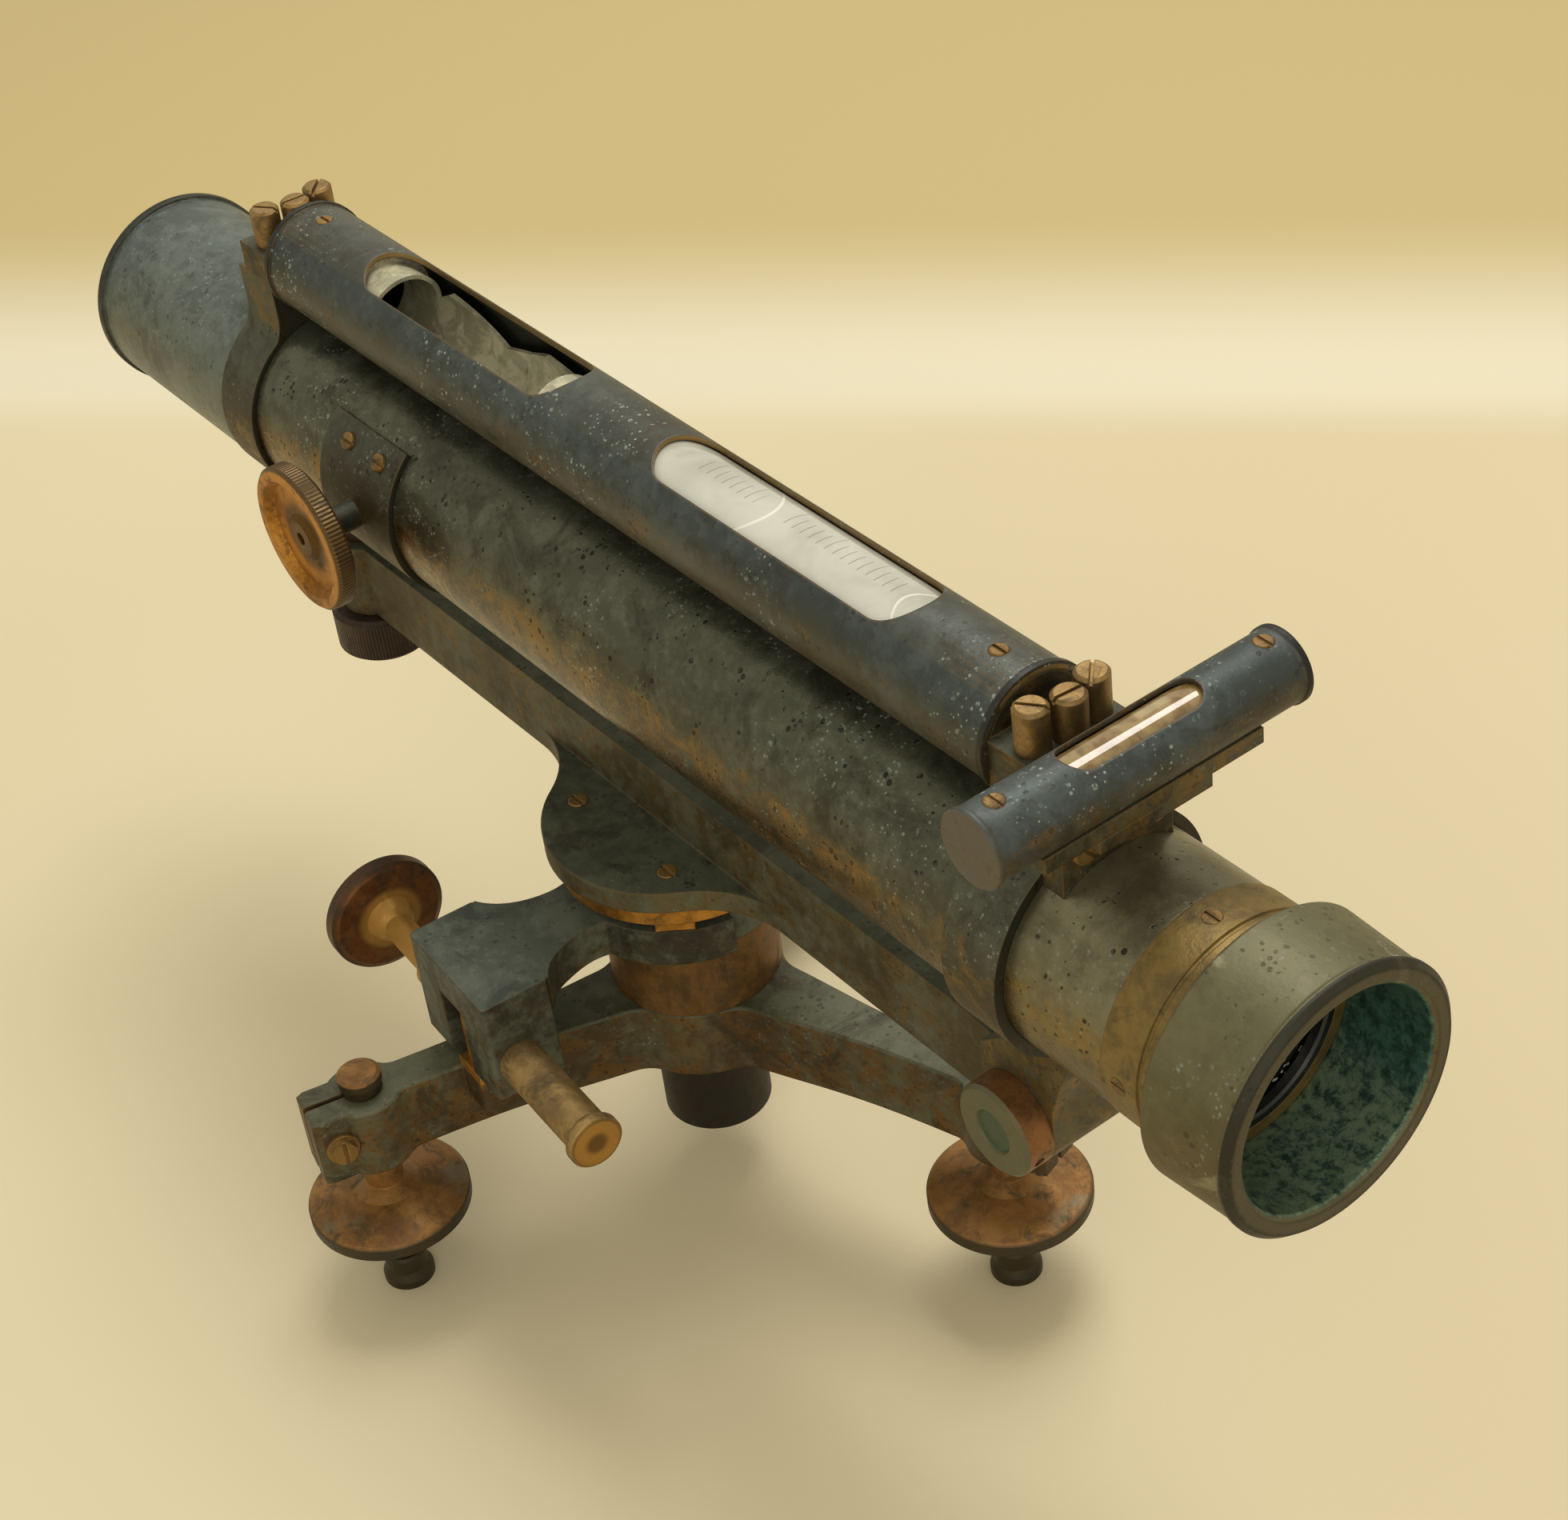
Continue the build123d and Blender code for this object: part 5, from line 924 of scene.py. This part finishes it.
# %% Dress
FINISH = {
    "tribrach": ["tribrach_casting"],
    "clamp": ["clamp_arm"],
    "bar": ["limb_bar"],
    "collar": ["near_collar", "far_collar", "pinion_plate"],
    "bracket": ["level_lug_near", "level_lug_far", "cross_base", "cross_bracket"],
    "tube": ["main_tube", "draw_tube"],
    "nose": ["nose_tube"],
    "level": ["level_casing"],
    "cross": ["cross_casing"],
    "hood": ["hood"],
    "guard": ["guard_hood"],
    "gold": ["limb_disc", "tangent_tongue", "pinion", "focus_rack", "spindle", "reticle_ring"],
    "focus": ["focus_knob"],
    "barrel": ["spring_barrel", "spring_plunger", "tangent_shoe"],
    "ring": ["cell_ring"],
    "nut": ["level_nuts_near", "level_nuts_far"],
    "screw": ["level_casing_screws", "cross_casing_screws", "bracket_screws", "plate_screws",
              "pinch_screws", "stage_screws", "cell_screws"],
    "brown": ["tangent_screw", "tilt_plunger"],
    "foot": [f"{kind}_{index}" for kind in ("footscrew", "foot_pad") for index in (1, 2, 3)],
    "tilt": ["tilt_screw"],
    "pivot": ["pivot_screw"],
    "drum": ["axis_socket"],
    "vial": ["level_vial"],
    "amber": ["cross_vial"],
    "broken": ["broken_vial"],
    "lens": ["objective_lens", "eye_lens", "reticle_glass"],
    "plaster": ["vial_packing", "cross_vial_seats"],
    "black": ["lens_retainer", "rear_guide", "front_guide", "eyepiece"],
}


def dress(piece, material):
    """Every face of the piece takes the material."""
    piece.data.materials.clear()
    piece.data.materials.append(material)


for finish, nodes in FINISH.items():
    for node in nodes:
        dress(bpy.data.objects[node], MATERIALS[finish])
print("dressed", sum(len(nodes) for nodes in FINISH.values()), "nodes")

# %% [markdown]
# ## The shape of a window glass
# In both casings the glass lies right under the window, with only a thin line of shade round it.
# Each is a rod with rounded ends. A cylinder with bevelled ends would do, but half the rod's outline
# spun about its axis says the same in one step. The two points just past each rounded end keep the
# smooth shading of the end off the long straight face.

# %% Glass rod
STEPS = 64
END_ROUND = 0.002


def rod_mesh(start, end, radius):
    """A rod along X, spun from half its outline."""
    mesh = bmesh.new()
    outline = [(start, 0), (start, radius - END_ROUND), (start + END_ROUND, radius),
               (start + 2 * END_ROUND, radius), (end - 2 * END_ROUND, radius),
               (end - END_ROUND, radius), (end, radius - END_ROUND), (end, 0)]
    verts = [mesh.verts.new((x, 0, z)) for x, z in outline]
    edges = [mesh.edges.new(pair) for pair in zip(verts, verts[1:])]
    bmesh.ops.spin(mesh, geom=verts + edges, cent=(0, 0, 0), axis=(1, 0, 0), angle=math.tau,
                   steps=STEPS, use_merge=True)
    bmesh.ops.remove_doubles(mesh, verts=mesh.verts, dist=1e-6)
    bmesh.ops.recalc_face_normals(mesh, faces=mesh.faces)
    return mesh


def add_object(name, mesh, material):
    """The finished mesh as an object at the origin, with its material."""
    data = bpy.data.meshes.new(name)
    mesh.to_mesh(data)
    mesh.free()
    piece = bpy.data.objects.new(name, data)
    bpy.context.collection.objects.link(piece)
    dress(piece, material)
    return piece


print("a rod has", STEPS, "sides")

# %% [markdown] ## Put the glasses in Each rod is moved into its casing in the mesh, and the object
# itself stays at the origin, because a pose moves the whole object.

# %% Window glasses
def window_glass(name, start, end, radius, place, material, node):
    mesh = rod_mesh(start, end, radius)
    bmesh.ops.transform(mesh, matrix=place, verts=mesh.verts)
    glass = add_object(name, mesh, material)
    glass.data.shade_smooth()
    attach(glass, "telescope")
    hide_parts(node)
    print(name, "faces", len(glass.data.polygons))


LEVEL_RADIUS, CROSS_RADIUS = 0.0117, 0.0063
LEVEL_ENDS, CROSS_ENDS = (0.0135, 0.114), (-0.023, 0.023)
cross_x, cross_z = CROSS_AXIS
level_place = Matrix.Translation((0, 0, LEVEL_AXIS / 1000))
cross_turn = Matrix.Rotation(math.radians(90), 4, "Z")
cross_place = Matrix.Translation((cross_x / 1000, 0, cross_z / 1000)) @ cross_turn
window_glass("near_glass", *LEVEL_ENDS, LEVEL_RADIUS, level_place, MATERIALS["vial"], "level_vial")
window_glass("cross_glass", *CROSS_ENDS, CROSS_RADIUS, cross_place, MATERIALS["amber"], "cross_vial")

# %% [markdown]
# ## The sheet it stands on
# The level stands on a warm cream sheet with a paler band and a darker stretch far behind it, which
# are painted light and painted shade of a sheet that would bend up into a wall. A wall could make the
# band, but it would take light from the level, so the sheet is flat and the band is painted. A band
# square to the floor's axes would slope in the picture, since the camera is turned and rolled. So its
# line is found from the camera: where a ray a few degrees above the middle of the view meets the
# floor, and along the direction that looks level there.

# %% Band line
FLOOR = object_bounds()[0].z
BAND_LIFT = 7.0
VERTICAL = Vector((0, 0, 1))


def band_line():
    """Where the band meets the floor, and the two floor directions along and across it."""
    right, up, forward = camera_axes()
    ray = forward + up * math.tan(math.radians(BAND_LIFT))
    along = right.cross(ray).cross(VERTICAL).normalized()
    if along.dot(right) < 0:
        along = -along
    foot = CAMERA_PLACE + ray * ((FLOOR - CAMERA_PLACE.z) / ray.z)
    return foot, along, VERTICAL.cross(along)


band_foot, _, away = band_line()
print("the band starts", round(band_foot.dot(away), 3), "m away")

# %% [markdown]
# ## Its colours
# The sheet isn't quite even, so two close colours are mixed by very broad noise. Past the band's
# line the colour goes over to the pale band of painted light and then to the darker stretch of
# painted shade, by the distance along the floor.

# %% Sheet
SHEET_REACH = 4.0
BAND_WIDTH = 0.01
FLOOR_COLOUR, FLOOR_PALE = rgb(212, 199, 166), rgb(218, 207, 176)
BAND_LIGHT_COLOUR, BACK_SHADE_COLOUR = rgb(222, 215, 192), rgb(194, 177, 128)


def sheet_material():
    shade = Shade("sweep")
    past = shade.vector("DOT_PRODUCT", shade.place, tuple(away), out="Value") - band_foot.dot(away)
    colour = shade.blend(shade.noise(1.2, 3, 0.5).between(0.35, 0.65), FLOOR_COLOUR, FLOOR_PALE)
    # Painted light: the pale band along the line where the sheet would bend up.
    colour = shade.blend(past.between(-0.035, 0.0), colour, BAND_LIGHT_COLOUR)
    # Painted shade: the darker stretch stands for a wall behind that would take less light.
    colour = shade.blend(past.between(BAND_WIDTH, 0.12), colour, BACK_SHADE_COLOUR)
    return shade.set(Base_Color=colour, Roughness=0.8, Specular_IOR_Level=0.2)


mesh = bmesh.new()
bmesh.ops.create_grid(mesh, x_segments=1, y_segments=1, size=SHEET_REACH)
bmesh.ops.translate(mesh, verts=mesh.verts, vec=(0, 0, FLOOR))
sheet = add_object("sweep", mesh, sheet_material())
print("a sheet", 2 * SHEET_REACH, "m wide at", round(FLOOR, 4), "m")

# %% [markdown]
# ## Light
# The shadow in the photograph is soft and falls toward the camera, so the main lamp is large and
# behind the level. A second one in front opens the shaded sides, and a bright even room fills the
# rest, as in a light tent. One small lamp would have given hard shadows and black castings.

# %% Lamps and room
LAMP_AIM = Vector((0, 0, 0.1))
ROOM_COLOUR, ROOM_STRENGTH = rgb(238, 230, 206), 0.74


def add_lamp(name, place, watts, side, colour):
    data = bpy.data.lights.new(name, "AREA")
    data.shape, data.energy, data.color = "RECTANGLE", watts, colour
    data.size = data.size_y = side
    lamp = bpy.data.objects.new(name, data)
    bpy.context.collection.objects.link(lamp)
    turn = (LAMP_AIM - Vector(place)).to_track_quat("-Z", "Y").to_matrix().to_4x4()
    lamp.matrix_world = Matrix.Translation(place) @ turn


add_lamp("above", place=(-0.3, 0.5, 1.5), watts=14, side=0.8, colour=(1.0, 0.98, 0.94))
add_lamp("front", place=(1.3, -0.9, 1.1), watts=7, side=1.2, colour=(1.0, 0.97, 0.9))
world = bpy.data.worlds.new("room")
world.use_nodes = True
background = world.node_tree.nodes["Background"]
background.inputs["Color"].default_value = ROOM_COLOUR
background.inputs["Strength"].default_value = ROOM_STRENGTH
bpy.context.scene.world = world
bpy.context.scene.view_settings.view_transform = "Standard"
print("lamps", len(bpy.data.lights))

# %% [markdown] ## Finish The glasses lie inside their casings.
